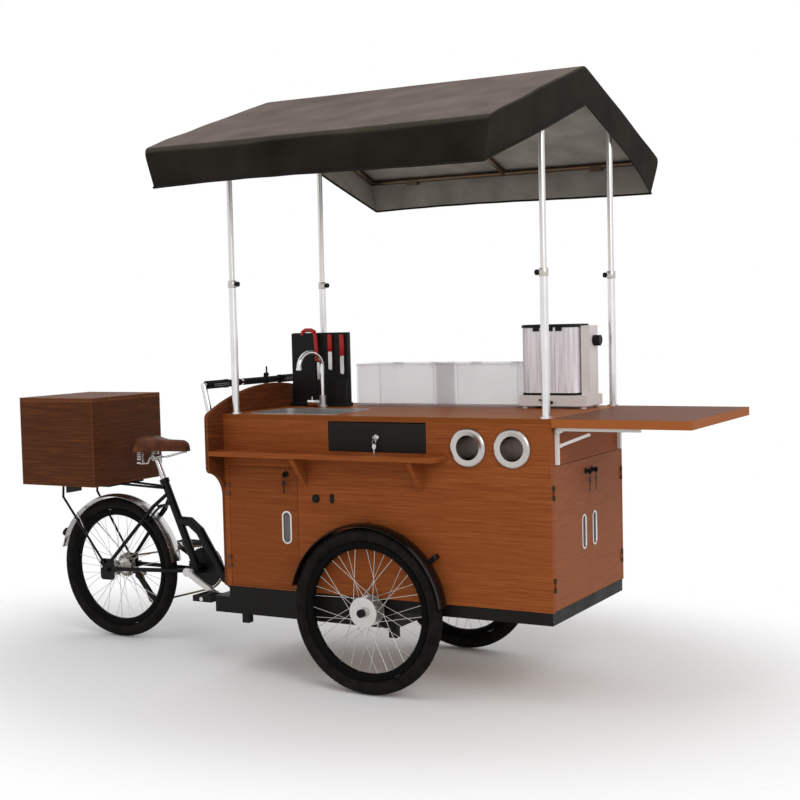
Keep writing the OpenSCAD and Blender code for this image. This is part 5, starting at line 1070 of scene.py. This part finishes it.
# Saddle: a thick hide stretched from a nose rivet to a rear plate, padded under its crown.
# It rides on two coil springs, wound from hard wire and chromed.
hide, hide_tree, hide_shader = new_finish("saddle_hide", tone(92, 50, 31), 0.5, shine=0.12)
hide_cells = hide_tree.nodes.new("ShaderNodeTexVoronoi")
hide_cells.inputs["Scale"].default_value = 520
hide_tree.links.new(own_place(hide_tree), hide_cells.inputs["Vector"])
hide_clouds = clouded(hide_tree, hide_shader, 28, (0.3, tone(66, 35, 22)), (0.55, tone(94, 51, 31)),
    (0.8, tone(124, 72, 45)))
hide_tree.links.new(span(hide_tree, hide_clouds, 0.32, 0.52), hide_shader.inputs["Roughness"])
relief(hide_tree, hide_shader, hide_cells.outputs["Distance"], 0.0003)
saddle_low, saddle_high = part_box("saddle")
saddle_length, saddle_half = saddle_high.x - saddle_low.x, saddle_high.y
saddle_height = saddle_high.z - saddle_low.z
saddle_steps, side_fullness, crown_fullness, belly_rise = 48, 0.72, 0.85, 0.010
dish_depth, dish_width, dish_length = 0.004, 0.02, 0.25
width_shares = ((0, 0.5), (0.04, 0.74), (0.1, 0.92), (0.2, 1), (0.32, 0.9), (0.45, 0.62), (0.58, 0.38),
    (0.75, 0.27), (0.9, 0.23), (0.97, 0.17), (1, 0.1))
crown_shares = ((0, 0.5), (0.04, 0.78), (0.1, 0.96), (0.2, 1), (0.45, 0.86), (0.7, 0.8), (0.9, 0.76),
    (0.97, 0.62), (1, 0.4))


def eased(shares, place):
    """Value of a table of places and shares, passing from one to the next without a corner."""
    for (start, first), (end, second) in zip(shares, shares[1:]):
        if place <= end:
            step = (place - start) / (end - start)
            return first + (second - first) * (step * step * (3 - 2 * step) * 0.5 + step * 0.5)
    return shares[-1][1]


saddle_shape = bmesh.new()
saddle_loops = []
for section in range(saddle_steps + 1):
    share = section / saddle_steps
    half = saddle_half * eased(width_shares, share)
    height = saddle_height * eased(crown_shares, share)
    ring = []
    for angle in full_turn(saddle_steps):
        c, s = math.cos(angle), math.sin(angle)
        across = half * math.copysign(abs(c) ** side_fullness, c)
        up = belly_rise * min(1.0, 1.6 * abs(s)) * math.sin(math.pi * share)
        if s > 0:
            up = height * s ** crown_fullness
        if s > 0.3:
            up -= dish_depth * math.exp(-((across / dish_width) ** 2 + ((share - 0.5) / dish_length) ** 2))
        ring.append(Vector((saddle_low.x + share * saddle_length, across, saddle_low.z + up)))
    saddle_loops.append(ring)
add_skin(saddle_shape, saddle_loops)
saddle = make_piece("saddle_hide", saddle_shape, hide, "seat", 50)
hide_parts("saddle")

springs_low, springs_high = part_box("saddle_springs")
spring_turns, steps_per_turn, wire_radius, spring_leg = 5, 32, 0.0022, 0.0044
spring_steps = spring_turns * steps_per_turn
coil_radius = (springs_high.x - springs_low.x) / 2 - wire_radius
coil_x = (springs_low.x + springs_high.x) / 2
coil_height = springs_high.z - springs_low.z
spring_shape = bmesh.new()
for side in (-1, 1):
    coil_middle = Vector((coil_x, side * (springs_high.y - coil_radius - wire_radius), springs_low.z))
    path = [coil_middle + Vector((coil_radius, 0, 0))]
    for k in range(spring_steps + 1):
        angle = side * -2 * math.pi * k / steps_per_turn
        rise = spring_leg + (coil_height - 2 * spring_leg) * k / spring_steps
        reach = Vector((math.cos(angle), math.sin(angle), 0)) * coil_radius
        path.append(coil_middle + reach + upward * rise)
    path.append(coil_middle + Vector((coil_radius, 0, coil_height)))
    add_tube(spring_shape, path, wire_radius, 10)
springs = make_piece("coil_springs", spring_shape, chrome, "seat", 50)
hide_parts("saddle_springs")

# Drive: alloy cranks and a black chainring, a cluster of cogs and its derailleur on the far side.
# The chain is riveted from pairs of stamped plates, narrow and wide by turns, and is brown with oil.
crank_alloy = metal_finish("crank_alloy", tone(200, 198, 194), 0.24)
drive_black = paint_finish("drive_black", tone(28, 27, 26), tone(80, 78, 74), 0.4)
chain_steel = metal_finish("chain_steel", tone(116, 98, 78), 0.4)
cog_steel = metal_finish("cog_steel", tone(120, 112, 102), 0.38)
pedal_black = paint_finish("pedal_black", tone(26, 25, 24), tone(60, 58, 56), 0.6)
dress(crank_alloy, "crank_arms")
dress(drive_black, "chainring", "derailleur")
dress(cog_steel, "sprocket_cluster")
dress(pedal_black, "pedal_near", "pedal_far")
ring_low, ring_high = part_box("chainring")
cogs_low, cogs_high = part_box("sprocket_cluster")
chain_low, chain_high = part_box("chain")
ring_at, cogs_at = (ring_low + ring_high) / 2, (cogs_low + cogs_high) / 2
guard_shape = bmesh.new()
guard_profile = ((0.030, 0.0), (0.082, 0.0), (0.083, 0.001), (0.082, 0.002), (0.060, 0.0026),
    (0.030, 0.0020))
add_turned(guard_shape, Vector((ring_at.x, ring_low.y, ring_at.z)), -along_y, guard_profile, 72)
make_piece("chain_guard", guard_shape, drive_black, "cranks", 40)
chain_y, pitch, ring_teeth, cog_teeth = (chain_low.y + chain_high.y) / 2, 0.0127, 46, 18
ring_r, cog_r, pulley_r = ring_teeth * pitch / (2 * math.pi), cog_teeth * pitch / (2 * math.pi), 0.0225
upper_pulley, lower_pulley = cogs_at + Vector((0.054, 0, -0.043)), cogs_at + Vector((0.129, 0, -0.135))
chain_wheels = ((ring_at, ring_r, 1), (cogs_at, cog_r, 1), (upper_pulley, pulley_r, -1),
    (lower_pulley, pulley_r, 1))
arc_steps = 40
headings = []
for k, (start, radius, way) in enumerate(chain_wheels):
    end, next_radius, next_way = chain_wheels[(k + 1) % len(chain_wheels)]
    gap = end - start
    lean = math.asin((way * radius - next_way * next_radius) / math.hypot(gap.x, gap.z))
    headings.append(math.atan2(gap.z, gap.x) + lean)
chain_path = []
for k, (centre, radius, way) in enumerate(chain_wheels):
    arrive, leave = headings[k - 1], headings[k]
    sweep = way * ((way * (leave - arrive)) % (2 * math.pi))
    for step in range(arc_steps + 1):
        heading = arrive + sweep * step / arc_steps
        away = Vector((math.sin(heading), 0, -math.cos(heading))) * way * radius
        chain_path.append(Vector((centre.x + away.x, chain_y, centre.z + away.z)))
lengths = [0.0]
for here, there in zip(chain_path, chain_path[1:] + chain_path[:1]):
    lengths.append(lengths[-1] + (there - here).length)
links = 2 * round(lengths[-1] / pitch / 2)
joints = []
leg = 0
for k in range(links + 1):
    along = lengths[-1] * k / links
    while leg < len(chain_path) - 1 and lengths[leg + 1] < along:
        leg += 1
    share = (along - lengths[leg]) / max(1e-9, lengths[leg + 1] - lengths[leg])
    joints.append(chain_path[leg].lerp(chain_path[(leg + 1) % len(chain_path)], share))
chain_shape = bmesh.new()
inner_plate, outer_plate, plate_thickness, rivet_half, rivet_radius = 0.0013, 0.0024, 0.001, 0.003, 0.002
plate_outline = pill(0.0078, pitch + 0.0074, 4)
rivet_profile = ((rivet_radius, 0.0), (rivet_radius, 2 * rivet_half))
for k, (here, there) in enumerate(zip(joints, joints[1:])):
    ahead = (there - here).normalized()
    off = outer_plate if k % 2 else inner_plate
    for side in (-1, 1):
        plate_at = (here + there) / 2 + along_y * side * off
        add_plate(chain_shape, plate_at, plate_outline, ahead.cross(along_y), ahead, plate_thickness)
    add_turned(chain_shape, here - along_y * rivet_half, along_y, rivet_profile, 8)
chain = make_piece("chain_links", chain_shape, chain_steel, "bike", 40)
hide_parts("chain")

# Rear box: a chest of dark laminate boards, screwed to the carrier through its floor.
# Its lid is a single board of the same laminate, hinged at the front edge.
box_wood = board_finish("box_wood", tone(60, 32, 18), tone(82, 45, 24), tone(124, 70, 37), "level",
    band=0.006)
lid_wood = board_finish("lid_wood", tone(72, 39, 22), tone(100, 58, 34), tone(132, 80, 47), "y", band=0.005)
dress(box_wood, "rear_box")
dress(lid_wood, "box_lid")
